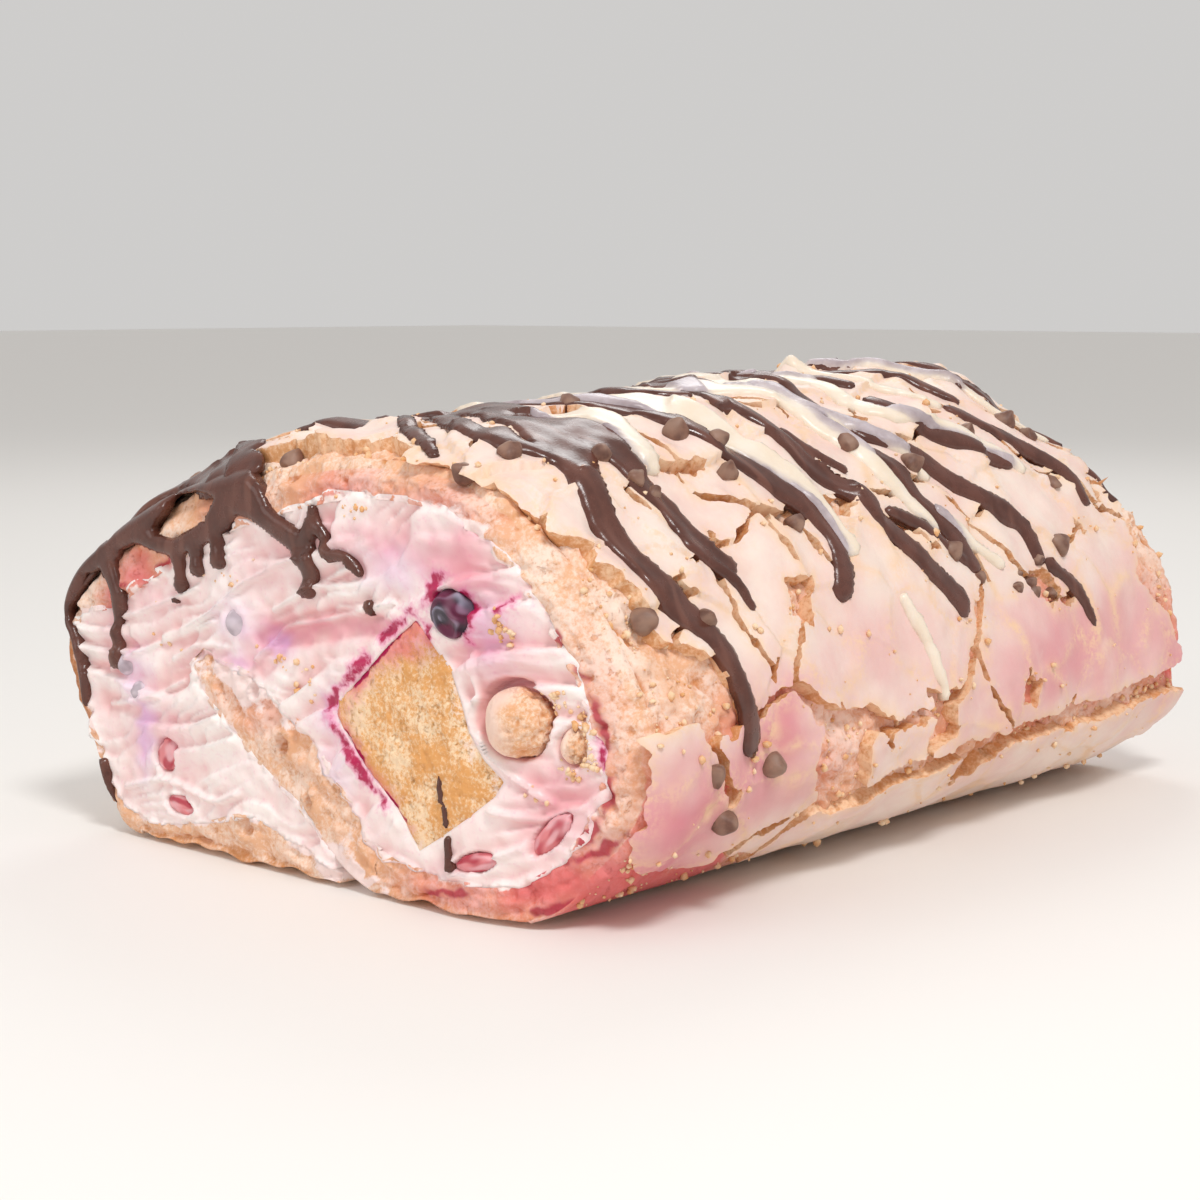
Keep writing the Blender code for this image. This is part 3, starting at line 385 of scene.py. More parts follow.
class Section:
    """The sheet's section: outer skin, inward normals, thickness and position round the roll."""

    def __init__(self, step):
        rows = path_through(ROLL, step)
        skin = rows[:, :2].copy()
        skin[:, 1] = np.maximum(skin[:, 1], 0.0)
        run = np.gradient(skin, axis=0)
        run /= np.linalg.norm(run, axis=1)[:, None]
        steps = np.linalg.norm(np.diff(skin, axis=0), axis=1)
        position = np.concatenate([[0.0], np.cumsum(steps)])
        crest = np.argmin(np.linalg.norm(skin - np.array(CREST), axis=1))
        self.skin = skin
        self.inward = np.stack([run[:, 1], -run[:, 0]], axis=1)
        self.thickness = rows[:, 2]
        self.round = position - position[crest]
        self.first_open = int(np.argmin(np.linalg.norm(skin - np.array(FIRST_IN_THE_OPEN), axis=1)))
        self.last_open = int(np.argmin(np.linalg.norm(skin - np.array(LAST_IN_THE_OPEN), axis=1)))
        lifted = smooth(skin[:, 1] / 12.0)
        lifted[self.last_open:] = 0.0
        self.exposed = lifted

    def at(self, around, name):
        """A column of the section at positions round the roll."""
        values = getattr(self, name)
        if values.ndim == 1:
            return np.interp(around, self.round, values)
        return np.stack([np.interp(around, self.round, values[:, k]) for k in (0, 1)], axis=1)


SECTION = Section(0.5)


def placed(section, share):
    """Section places (across, up) at a share of the way along, as rows of x, y, z."""
    across = section[:, 0]
    gain = np.interp(share, [row[0] for row in TOP_GAIN], [row[1] for row in TOP_GAIN])
    up = section[:, 1] + gain * smooth((section[:, 1] - 30.0) / 60.0)
    droop = FAR_DROOP * share ** 2 * np.exp(-((across - 14.0) / 22.0) ** 2)
    up = up - droop * smooth((up - 55.0) / 30.0)
    front = CUT_SLANT * smooth((across - 4.0) / 46.0)
    back = LENGTH - FAR_TOP_SHORT * (1.0 - smooth((across - 6.0) / 46.0))
    back = back - FAR_SHOULDER_SHORT * np.exp(-((across - 20.0) / 20.0) ** 2) * smooth(up / 80.0)
    along = front + (back - front) * share
    return np.stack([along - MIDDLE_ALONG, MIDDLE_ACROSS - across, up], axis=1)


def corner_drop(around):
    """How far the rim falls in at the two ends."""
    thickness = SECTION.at(around, "thickness")
    return np.minimum(CORNER_ROUND, 0.45 * thickness) * SECTION.at(around, "exposed")


def on_roll(along, around):
    """Places on the roll and the directions out of it. Below 0 along, or past the length, the
    place lies on the end face, that far in from the rim."""
    share = np.clip(along / LENGTH, 0.0, 1.0)
    past_end = np.maximum(-along, along - LENGTH)
    short = np.clip(1.0 + past_end / CORNER_REACH, 0.0, 1.0)
    drop = corner_drop(around) * (1.0 - np.sqrt(1.0 - short ** 2)) + np.maximum(past_end, 0.0)
    skin = SECTION.at(around, "skin")
    inward = SECTION.at(around, "inward")
    base = placed(skin + inward * drop[:, None], share)
    outward = placed(skin - inward * 0.5, share) - placed(skin + inward * 0.5, share)
    outward /= np.linalg.norm(outward, axis=1)[:, None]
    endward = np.zeros_like(outward)
    endward[:, 0] = np.where(along < LENGTH / 2, -1.0, 1.0)
    turned = (short ** 2)[:, None]
    outward = outward * (1.0 - turned) + endward * turned
    return base, outward / np.linalg.norm(outward, axis=1)[:, None]


def base_height(rows):
    """The crust's wide and fine undulations, at rows of along and around."""
    wide = np.array([noise.noise((a / 42.0, r / 36.0, 2.3)) for a, r in rows.tolist()])
    fine = np.array([noise.noise((a / 17.0, r / 15.0, 7.1)) for a, r in rows.tolist()])
    height = 2.4 * wide + 1.6 * fine
    for along, around, reach_along, reach_around, high in HUMPS:
        apart = ((rows[:, 0] - along) / reach_along) ** 2 + ((rows[:, 1] - around) / reach_around) ** 2
        height += high * np.exp(-apart)
    return height


def looseness(rows):
    """How broken up the crust is: most on top and at the far end, least low on the right side."""
    return 1.0 - 0.75 * smooth((rows[:, 1] - 66.0) / 16.0) + 0.1 * smooth((rows[:, 0] - 222.0) / 18.0)


def plates(rows):
    """The crust's small plates: how far a place is from its plate's edge, and the plate's lift there."""
    bent = rows + 5.0 * wandering(rows, 13.0, 41.0, 43.0)
    places = np.hstack([bent / PLATE_SIZE, np.full((len(rows), 1), 0.5)])
    found = [noise.voronoi(place)[1][:2] for place in places.tolist()]
    found = np.array([[tuple(point) for point in pair] for pair in found])
    near, second = found[:, 0], found[:, 1]
    apart = np.linalg.norm(second - near, axis=1) + 1.0e-6
    edge = (((second - places) ** 2).sum(axis=1) - ((near - places) ** 2).sum(axis=1)) / (2.0 * apart)
    drawn = np.sin(near @ np.array([[12.7, 26.9, 41.9], [31.1, 18.3, 37.1], [7.4, 24.6, 8.2]])) * 437.585
    drawn = drawn - np.floor(drawn) - 0.5
    lean = ((places - near)[:, :2] * drawn[:, 1:]).sum(axis=1)
    return edge * PLATE_SIZE.mean(), PLATE_STEP * drawn[:, 0] + PLATE_LEAN * lean


def crust_state(rows):
    """How far each place lies within the crust's plates, negative on bare crumb, and their level."""
    wobble = uneven(rows, EDGE_RAGGED)
    loose = looseness(rows)
    edge, lift = plates(rows)
    gap = loose * (1.9 * lumps(rows, 22.0, 47.0) + 0.7) - 0.35
    mask = edge - gap
    for route in CRACKS:
        mask = np.minimum(mask, distance_to(rows, path_through(route, 4.0)))
    for outline in BARE:
        mask = np.minimum(mask, -outline_distance(rows, outline))
    from_end = np.minimum(rows[:, 0], LENGTH - rows[:, 0])
    mask = np.minimum(mask + wobble * smooth((mask + 4.0) / 4.0), from_end - LOOSE_EDGE + wobble)
    exposed = SECTION.at(rows[:, 1], "exposed")
    level = base_height(rows) + 0.35 + 1.2 * lumps(rows, (26.0, 20.0), 14.0) + lift * loose
    level += loose * uneven(rows, CRUST_STEPS)
    return np.minimum(mask, (exposed - 0.25) * 12.0), level


def crumb_height(rows):
    """Height of the bare crumb."""
    height = base_height(rows) - CRUMB_DEPTH + uneven(rows, CRUMB_LUMPS)
    return height - 1.5 * pits(rows, 5.0, 2.0) * smooth(0.6 + 1.6 * lumps(rows, 14.0, 5.0))


def crust_height(mask, level, rows):
    """Height of the crust's plates, whose broken edges lift and lean."""
    lip = np.exp(-np.maximum(mask, 0.0) / 3.0) * (0.6 + 1.1 * lumps(rows, 11.0, 31.0))
    rounded = 0.3 * np.exp(-np.maximum(mask, 0.0) / 0.4)
    return level + 0.9 * lip - rounded + 0.25 * lumps(rows, (5.0, 4.0), 19.0)


def chocolate_support(rows):
    """The level on which poured chocolate lies, which bridges the narrow cracks."""
    mask, level = crust_state(rows)
    return level + 0.2 - 1.7 * smooth(-mask / 4.0)


def grid_faces(cells, number):
    """Quads of the chosen cells, from an array that gives each grid point's number."""
    i, j = np.nonzero(cells)
    return np.stack([number[i, j], number[i, j + 1], number[i + 1, j + 1], number[i + 1, j]], axis=1)


def cells_over(mask):
    """The cells whose corners have a mask over 0 on average."""
    return (mask[:-1, :-1] + mask[1:, :-1] + mask[:-1, 1:] + mask[1:, 1:]) > 0.0


def neighbours(grid, mode="constant"):
    """The four neighbours of every place of a grid."""
    padded = np.pad(grid, 1, mode=mode)
    return [padded[:-2, 1:-1], padded[2:, 1:-1], padded[1:-1, :-2], padded[1:-1, 2:]]


def flat_grid(low_first, high_first, low_second, high_second, step):
    """A grid's two coordinates, and the same as rows."""
    first, second = np.meshgrid(np.arange(low_first, high_first, step),
                                np.arange(low_second, high_second, step), indexing="ij")
    return first, second, np.stack([first.ravel(), second.ravel()], axis=1)


def touching(cells):
    """Which grid points belong to at least one of the chosen cells."""
    points = np.zeros((cells.shape[0] + 1, cells.shape[1] + 1), bool)
    for a in (0, 1):
        for b in (0, 1):
            points[a:a + cells.shape[0], b:b + cells.shape[1]] |= cells
    return points


def snapped(first, second, mask, cells):
    """Grid coordinates whose border points are moved onto the line where the mask is 0."""
    border = touching(cells) & touching(~cells)
    d_first, d_second = np.gradient(mask)
    step_first = np.gradient(first, axis=0)
    step_second = np.gradient(second, axis=1)
    slope = d_first ** 2 + d_second ** 2 + 1.0e-9
    move_first = np.clip(-mask * d_first / slope, -0.55, 0.55) * border
    move_second = np.clip(-mask * d_second / slope, -0.55, 0.55) * border
    return first + move_first * step_first, second + move_second * step_second


def without_slivers(cells):
    """The chosen cells without spikes and strips that are one or two cells wide."""
    core = np.logical_and.reduce([cells] + neighbours(cells, "edge"))
    return np.logical_or.reduce([core] + neighbours(core))


def without_flakes(cells, least):
    """The chosen cells without the islands that have fewer cells than the least."""
    label = np.where(cells, np.arange(1, cells.size + 1).reshape(cells.shape), 0)
    settled = False
    while not settled:
        grown = np.maximum.reduce([label] + neighbours(label)) * cells
        settled = np.array_equal(grown, label)
        label = grown
    return cells & (np.bincount(label.ravel())[label] >= least)


def wall_faces(cells, upper, lower):
    """Quads that join the upper copy of a border to its lower copy."""
    faces = []
    sides = [(cells[:, :-1], cells[:, 1:], (0, 1), (1, 1)), (cells[:-1, :], cells[1:, :], (1, 1), (1, 0))]
    for inside, outside, near, far in sides:
        for border, first, last in ((inside & ~outside, near, far), (~inside & outside, far, near)):
            i, j = np.nonzero(border)
            start = (i + first[0], j + first[1])
            stop = (i + last[0], j + last[1])
            faces.append(np.stack([upper[start], lower[start], lower[stop], upper[stop]], axis=1))
    return np.vstack(faces)


def plain_piece(name, points, faces, finish, fields=None):
    """A smooth mesh object in metres from rows in millimetres, with values kept for its material."""
    mesh = bpy.data.meshes.new(name)
    mesh.from_pydata((np.asarray(points) * MM).tolist(), [], faces)
    mesh.validate()
    for label, values in (fields or {}).items():
        kept = mesh.attributes.new(label, "FLOAT", "POINT")
        kept.data.foreach_set("value", np.ascontiguousarray(values, dtype=np.float32))
    mesh.materials.append(finish)
    mesh.shade_smooth()
    made = bpy.data.objects.new(name, mesh)
    bpy.context.scene.collection.objects.link(made)
    return made


def make_piece(name, points, faces, finish, fields):
    """A piece from blocks of quads, with only the points that they use."""
    used = np.unique(np.concatenate([np.ravel(block) for block in faces]))
    number = np.full(len(points), -1)
    number[used] = np.arange(len(used))
    listed = [tuple(row) for block in faces for row in number[np.asarray(block)].tolist()]
    kept = {label: np.asarray(values)[used] for label, values in fields.items()}
    return plain_piece(name, np.asarray(points)[used], listed, finish, kept)


def hand_over(piece, slot, *nodes):
    """Let a piece ride on the roll and hide the solids that it stands for; slot is not used."""
    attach(piece, "root")
    if nodes:
        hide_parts(*nodes)
    return piece


# The baked meringue sheet: plates of crust over porous crumb.

# Bubbles and holes in the crumb of the cut face: across, up, radius.
FACE_HOLES = [(-49.5, 97.3, 3.0), (-71, 84, 2.4), (-62, 43, 2.2), (-52, 31, 2.6), (-43, 19, 2.0),
              (-66, 9, 2.6), (-90, 92, 2.0)]


def sheet_columns():
    """Positions round the roll, with the numbers of the first and last in the open."""
    ends = SECTION.round[[0, -1]]
    left, right = SECTION.round[[SECTION.first_open, SECTION.last_open]]
    under = np.arange(ends[0], left, LEFT_STEP)
    far_side = np.arange(left, LEFT_SIDE, LEFT_STEP)
    near_side = np.arange(LEFT_SIDE, right, SKIN_STEP)
    inside = np.arange(right, ends[1], SKIN_STEP)
    columns = np.concatenate([under, far_side, near_side, inside, ends[1:]])
    return columns, len(under), len(under) + len(far_side) + len(near_side)


def along_lines():
    """Positions along the roll, closer together near the cut face."""
    lines = [0.0]
    while lines[-1] < LENGTH:
        lines.append(lines[-1] + NEAR_STEP + (FAR_STEP - NEAR_STEP) * lines[-1] / LENGTH)
    return np.array(lines) * LENGTH / lines[-1]


def face_relief(section, end):
    """Crumb relief of the sheet where an end face shows it."""
    seed = 40.0 * end
    height = uneven(section, FACE_LUMPS, seed)
    pitted = smooth(0.6 + 1.5 * lumps(section, 12.0, 15.0 + seed))
    height -= 1.4 * pits(section, 4.8, 14.0 + seed) * pitted
    if end == 0.0:
        for across, up, reach in FACE_HOLES:
            apart = np.hypot(section[:, 0] - across, section[:, 1] - up) / reach
            height += 0.9 * np.exp(-((apart - 1.15) / 0.3) ** 2) - 3.0 * smooth((1.05 - apart) / 0.5)
    height -= 2.2 * smooth(1.0 - section[:, 1] / 5.0) * (0.7 + 1.2 * lumps(section, 8.0, 16.0 + seed))
    return height + 0.1


def foot_lift(section):
    """How far the broken foot of an end face is off the ground."""
    return smooth(1.0 - section[:, 1] / 4.0) * np.maximum(0.9 + 1.8 * lumps(section, 9.0, 18.0), 0.0)


def face_section(columns):
    """Section places on an end face, in rows from the rim to the inner side."""
    start = corner_drop(columns)
    depth = start + (SECTION.at(columns, "thickness") - start) * np.linspace(0, 1, FACE_ROWS)[:, None]
    skin = SECTION.at(columns, "skin")
    inward = SECTION.at(columns, "inward")
    return (skin[None] + inward[None] * depth[:, :, None]).reshape(-1, 2)


def sheet_pieces(crust_finish, crumb_finish):
    """The crust's plates and the crumb under them, which also has the two end faces."""
    columns, first, last = sheet_columns()
    along, around = np.meshgrid(along_lines(), columns[first:last + 1], indexing="ij")
    shape = along.shape
    rows = np.stack([along.ravel(), around.ravel()], axis=1)
    mask, level = crust_state(rows)
    mask = mask.reshape(shape)
    cells = cells_over(mask)
    cells = ~without_flakes(~without_slivers(cells), SMALLEST_HOLE)
    cells = without_flakes(cells, SMALLEST_PLATE)
    along, around = snapped(along, around, mask, cells)
    along[[0, -1]] = np.array([[0.0], [LENGTH]])
    rows = np.stack([along.ravel(), around.ravel()], axis=1)
    base, outward = on_roll(rows[:, 0], rows[:, 1])
    exposed = SECTION.at(rows[:, 1], "exposed")
    mask = mask.ravel()
    low = crumb_height(rows)
    crumb = base + outward * (low * exposed)[:, None]
    high = np.maximum(crust_height(mask, level, rows), low + 0.5)
    crust = base + outward * (high * exposed)[:, None]
    count = len(rows)
    upper = np.arange(count).reshape(shape)
    lower = upper + count
    rim_again = lower + count

    section = face_section(columns)
    face_shape = (FACE_ROWS, len(columns))
    near_rim = np.repeat(1.0 - smooth(np.linspace(0, 1, FACE_ROWS) * 3.0), len(columns))
    blocks = [crust, crumb, crust]
    # How deep the crumb lies; its finish darkens the deep parts as painted shade.
    depths = [np.zeros(count), low + CRUMB_DEPTH - base_height(rows), np.zeros(count)]
    face_numbers = []
    top = 3 * count
    for end, side in ((0.0, -1.0), (1.0, 1.0)):
        places = placed(section, end)
        rim_rows = np.stack([np.full(len(columns), end * LENGTH), columns], axis=1)
        rim = np.tile(crumb_height(rim_rows) * SECTION.at(columns, "exposed"), FACE_ROWS)
        relief = face_relief(section, end)
        relief = relief * (1.0 - near_rim) + rim * near_rim
        places[:, 0] += side * relief
        places[:, 2] += foot_lift(section)
        number = (top + np.arange(len(section))).reshape(face_shape)
        number[0, first:last + 1] = lower[0 if end == 0.0 else -1]
        face_numbers.append(number)
        blocks.append(places)
        depths.append(np.maximum(face_relief(section, end), -1.3))
        top += len(section)

    skin = SECTION.at(columns, "skin")
    inner = skin + SECTION.at(columns, "inward") * SECTION.at(columns, "thickness")[:, None]
    layers = {"inner": [face_numbers[0][-1]], "skin": [face_numbers[0][0]]}
    for share in np.linspace(0.0, 1.0, COARSE_STATIONS)[1:-1]:
        for label, places in (("inner", inner), ("skin", skin)):
            layers[label].append(top + np.arange(len(columns)))
            blocks.append(placed(places, share))
            depths.append(np.zeros(len(columns)))
            top += len(columns)
    layers["inner"].append(face_numbers[1][-1])
    layers["skin"].append(face_numbers[1][0])
    inner_number = np.array(layers["inner"])
    skin_number = np.array(layers["skin"])

    points = np.vstack(blocks)
    whole = np.ones((FACE_ROWS - 1, len(columns) - 1), bool)
    under = np.ones((COARSE_STATIONS - 1, len(columns) - 1), bool)
    closed_skin = under.copy()
    closed_skin[:, first:last] = False
    crumb_faces = [grid_faces(~cells, lower), grid_faces(whole, face_numbers[0])[:, ::-1],
                   grid_faces(whole, face_numbers[1]), grid_faces(under, inner_number)[:, ::-1],
                   grid_faces(closed_skin, skin_number)]
    for j, turn in ((0, 1), (-1, -1)):
        strip = np.stack([inner_number[:, j], skin_number[:, j]], axis=1)[:, ::turn]
        crumb_faces.append(grid_faces(np.ones((COARSE_STATIONS - 1, 1), bool), strip))
    crust_faces = [grid_faces(cells, upper), wall_faces(cells, rim_again, lower)]

    tint = np.zeros(top)
    # The crust's pink tint is painted light: the pink bounce of the surroundings on the roll's lower
    # sides.
    tint[:3 * count] = np.tile(spread(rows, PAINTED_PINK_BOUNCE, 0.8, 9.0), 3)
    broken = np.zeros(top)
    broken[count:2 * count] = 1.0
    broken[2 * count:3 * count] = 0.4
    edge = np.zeros(top)
    edge[:count] = np.exp(-np.maximum(mask, 0.0) / 1.6)
    smear = np.zeros(top)
    jam = np.zeros(top)
    for end, number in zip((0.0, 1.0), (3 * count, 3 * count + len(section))):
        on_face = slice(number, number + len(section))
        tint[on_face] = spread(section, FACE_PINK[end], 0.6, 6.0, end)
        smear[on_face] = cream_on_crumb(section, end)
        # Juice stain, and along the right seam painted crevice shade.
        jam[on_face] = line_stain(section, widened(FACE_JAM_AND_SEAM_SHADE[end], 0.35), 1.3, 19.0, 0.58)
    fields = {"deep": np.concatenate(depths), "tint": tint, "broken": broken,
              "edge": edge, "smear": smear, "jam": jam}
    crust_piece = make_piece("meringue_crust", points, crust_faces, crust_finish, fields)
    crumb_piece = make_piece("meringue_crumb", points, crumb_faces, crumb_finish, fields)
    hand_over(crust_piece, "meringue")
    return hand_over(crumb_piece, "meringue", "meringue_sheet")


def spread(rows, spots, bend=0.5, size=5.0, seed=0.0):
    """Soft stains at rows of places: a spot is two coordinates, two reaches and a strength."""
    bent = rows + bend * size * wandering(rows, size, 61.0 + seed, 67.0 + seed)
    total = np.zeros(len(rows))
    for first, second, reach_first, reach_second, strength in spots:
        apart = ((bent[:, 0] - first) / reach_first) ** 2 + ((bent[:, 1] - second) / reach_second) ** 2
        total += strength * np.exp(-apart)
    return np.clip(total, 0.0, 1.0)


def line_stain(rows, routes, softness, seed, cover=0.75):
    """Ragged stains along routes of two coordinates and a width; cover is about the share stained."""
    bent = rows + 1.5 * wandering(rows, 3.0, 71.0 + seed, 77.0 + seed)
    best = np.full(len(rows), 1.0e6)
    for route in routes:
        best = np.minimum(best, distance_to(bent, path_through(route, 3.0)))
    covered = smooth(cover + 1.3 * lumps(rows, (9.0, 6.0), 79.0 + seed))
    return np.exp(-np.maximum(best, 0.0) / softness) * covered


def cream_on_crumb(section, end):
    """Where the knife has dragged cream over the crumb of an end face."""
    inside = outline_distance(section, cream_outline())
    near = np.exp(-np.maximum(-inside, 0.0) / 2.2) * smooth(0.45 + 2.2 * lumps(section, 5.0, 23.0 + end))
    return np.clip(near + spread(section, FACE_SMEAR[end], 1.0, 5.0, 9.0 + end), 0.0, 1.0)


# Pink on the crust, painted as the pink light that the surroundings throw on the roll's lower sides, and
# stains on the faces. On the crust: along, around, two reaches, strength. On a face: across, up and the
# same.
PAINTED_PINK_BOUNCE = [(14, 118, 24, 14, 1.0), (44, 104, 14, 12, 0.9), (60, 120, 20, 10, 0.45),
              (210, 100, 50, 16, 0.6), (246, 112, 16, 12, 0.8), (140, 110, 40, 14, 0.35),
              (88, 92, 26, 14, 0.3), (166, 100, 30, 14, 0.35), (30, 150, 30, 8, 0.6),
              (110, -120, 80, 22, 0.4), (210, -60, 30, 20, 0.3), (8, 140, 22, 12, 1.0),
              (36, 150, 24, 9, 0.8)]
FACE_PINK = {
    0.0: [(-104, 69, 12, 5, 1.0), (-117, 58, 5, 6, 0.9), (-70, 89, 12, 5, 0.5), (-30, 93, 16, 6, 0.7),
          (2, 92, 14, 7, 0.5), (36, 36, 10, 24, 0.45), (26, 10, 20, 9, 1.0), (-2, 4, 12, 5, 0.5),
          (-60, 40, 16, 6, 0.35), (-134, 30, 6, 22, 0.3)],
    1.0: [(-110, 66, 14, 8, 0.8), (-20, 92, 30, 6, 0.6), (36, 40, 10, 24, 0.8), (10, 8, 20, 8, 0.7)],
}
FACE_SMEAR = {
    0.0: [(-72, 47, 9, 5, 1.0), (-60, 43, 8, 4, 0.8), (-66, 38, 5, 6, 0.6), (-48, 36, 5, 4, 0.7),
          (-36, 26, 4, 5, 0.7), (-47, 9, 5, 3, 0.9), (-34, 5, 8, 5, 1.0), (-24, 3, 7, 3, 0.9),
          (-28, 14, 4, 5, 0.5), (-40, 20, 4, 3, 0.4), (8, 90, 9, 2.6, 0.7), (-30, 93, 9, 2.4, 0.6),
          (-128, 45, 3, 8, 0.6), (-125, 22, 3, 7, 0.5)],
    1.0: [(-70, 44, 10, 6, 0.8), (-40, 28, 8, 6, 0.6), (-36, 6, 8, 4, 0.8)],
}
# Juice soaked into the crumb, and along the seam beside the cream on the right also painted shade in that
# crevice: routes of across, up and width.
FACE_JAM_AND_SEAM_SHADE = {
    0.0: [
        [(30, 66, 1), (35, 58, 2), (39.5, 50, 2.4), (41, 42, 2), (42, 34, 1.4), (41, 27, 1.6),
         (35, 20, 2), (26, 12, 2.4), (16, 8.6, 2), (4, 5, 1.4), (-6, 3, 1)],
        [(-113, 65, 1), (-106, 68, 1.8), (-98, 72, 1.6), (-91, 74.6, 1)],
        [(-120, 56, 2), (-115.6, 59.6, 2)],
        [(44, 16, 2), (34, 7, 3), (24, 3, 3)],
        [(49, 28.6, 1.4), (45.6, 22.9, 2), (38.7, 17.8, 2), (29.9, 15.4, 2), (26.3, 11.7, 2),
         (19, 9.1, 1.6), (7.8, 5.7, 1)],
    ],
    1.0: [
        [(36, 60, 1), (41, 44, 2), (40, 28, 2), (26, 12, 2)],
        [(-113, 65, 1), (-98, 72, 1.8)],
    ],
}


# Fillings that run the length of the roll: the same outline at both ends, with their own relief.


def cream_outline():
    """The cream's outline in section: inside the roll's outer turn and round its inner end."""
    coarse = Section(2.0)
    inner_side = coarse.skin + coarse.inward * coarse.thickness[:, None]
    numbers = np.arange(len(coarse.skin))
    off_floor = np.nonzero((coarse.skin[:, 1] > BAND_FOOT) & (numbers > coarse.last_open))[0]
    return np.vstack([inner_side[1:], coarse.skin[off_floor[0]:][::-1]])


def run_through(name, outline, mask_of, relief_of, fields_of, step, finish):
    """A closed piece that runs the roll's length, cut out of a fine grid where its mask is over 0."""
    low = outline.min(axis=0) - WINDOW_EDGE
    high = outline.max(axis=0) + WINDOW_EDGE
    across, up, rows = flat_grid(low[0], high[0], low[1], high[1], step)
    shape = across.shape
    mask = mask_of(rows).reshape(shape)
    cells = cells_over(mask)
    across, up = snapped(across, up, mask, cells)
    section = np.stack([across.ravel(), up.ravel()], axis=1)
    depth_in = np.maximum(mask.ravel(), 0.0)
    stations = np.linspace(0.0, 1.0, COARSE_STATIONS)
    number = np.arange(len(section)).reshape(shape)
    blocks = []
    columns = {}
    for share in stations:
        places = placed(section, share)
        height = np.zeros(len(section))
        if share in (0.0, 1.0):
            height = relief_of(section, depth_in, share)
            places[:, 0] += height * (1.0 if share else -1.0)
        kept = fields_of(section, share)
        kept["height"] = height
        for label, values in kept.items():
            columns.setdefault(label, []).append(values)
        blocks.append(places)
    last = (COARSE_STATIONS - 1) * len(section)
    faces = [grid_faces(cells, number)[:, ::-1], grid_faces(cells, number + last)]
    for k in range(COARSE_STATIONS - 1):
        faces.append(wall_faces(cells, number + (k + 1) * len(section), number + k * len(section)))
    fields = {label: np.concatenate(values) for label, values in columns.items()}
    return make_piece(name, np.vstack(blocks), faces, finish, fields)


def pieces_at(end):
    return FRONT_PIECES if end == 0.0 else FAR_PIECES


def strokes(section, end, spacing, seed):
    """Overlapping strokes of a knife that rise to the right and end in a sharp lip."""
    lean = 0.45 + 0.3 * lumps(section, 60.0, seed)
    cross = section[:, 1] * np.cos(lean) - section[:, 0] * np.sin(lean)
    bend = lumps(section, (3.6 * spacing, 1.9 * spacing), seed + 1.0 + 40.0 * end)
    phase = cross / spacing + 1.3 * bend
    share = phase - np.floor(phase)
    lip = smooth(share / 0.88) * (1.0 - smooth((share - 0.88) / 0.12))
    shown = smooth(0.55 + 1.7 * lumps(section, (4.0 * spacing, 2.0 * spacing), seed + 2.0 + end))
    return (lip - 0.5) * shown


# Ridges that the knife left in the cream of the cut face, and the dent that it pressed: across, up, size.
KNIFE_RIDGES = [
    [(-114, 56.5, 0.4), (-103, 59.7, 1), (-92.6, 63.6, 1), (-83, 67.3, 0.5)],
    [(-97.6, 52.9, 0.4), (-87, 56.8, 1), (-76.7, 62.1, 1.2), (-67.7, 68.6, 1.2), (-61.2, 71.9, 1),
     (-45.3, 78.6, 0.6)],
    [(-119.8, 41.7, 0.4), (-103.7, 49.4, 1), (-91.8, 53.5, 1), (-76.9, 59.2, 0.5)],
    [(-55, 64.1, 0.5), (-40.4, 71.5, 1.1), (-28.2, 77.2, 0.7)],
    [(-61.8, 50.8, 0.5), (-50.9, 60.3, 1), (-40.6, 62.6, 1.2), (-28.5, 65.8, 1), (-14, 70, 0.6)],
    [(-93.2, 47.5, 0.4), (-83.9, 52.1, 1), (-72.6, 53.2, 0.6)],
    [(-120, 32.5, 0.5), (-104.3, 35.9, 1), (-90, 42, 0.6)],
    [(-113.8, 12.1, 0.6), (-96.8, 16, 1), (-78.5, 13.5, 1), (-69.5, 16.3, 0.6)],
    [(9.5, 60, 0.6), (11, 50, 1.2), (13, 40, 1.2), (20, 33, 1), (28, 28, 0.7)],
    [(14, 25, 0.5), (26, 24, 1), (36, 28, 0.6)],
    [(4, 12, 0.5), (16, 15, 1), (26, 20, 0.6)],
]
KNIFE_DENT = [(-60, 56, 3), (-44, 60.4, 7), (-29, 63.3, 6), (-17, 64, 3)]


def under_cream(section, end):
    """The level of what lies beneath the cream's thin edge: crumb, or the sponge beside its strip."""
    by_sponge = smooth(outline_distance(section, np.array(SPONGE, float)) + 3.0)
    return face_relief(section, end) * (1.0 - by_sponge) - 0.25 * by_sponge


def apart_from(section, across, up, half, tilt):
    """Distance of section places from a tilted piece's middle, as a share of its half sizes."""
    turn = math.radians(tilt)
    to_left, higher = across - section[:, 0], section[:, 1] - up
    first = to_left * math.cos(turn) - higher * math.sin(turn)
    second = to_left * math.sin(turn) + higher * math.cos(turn)
    return np.hypot(first / half[0], second / half[1])


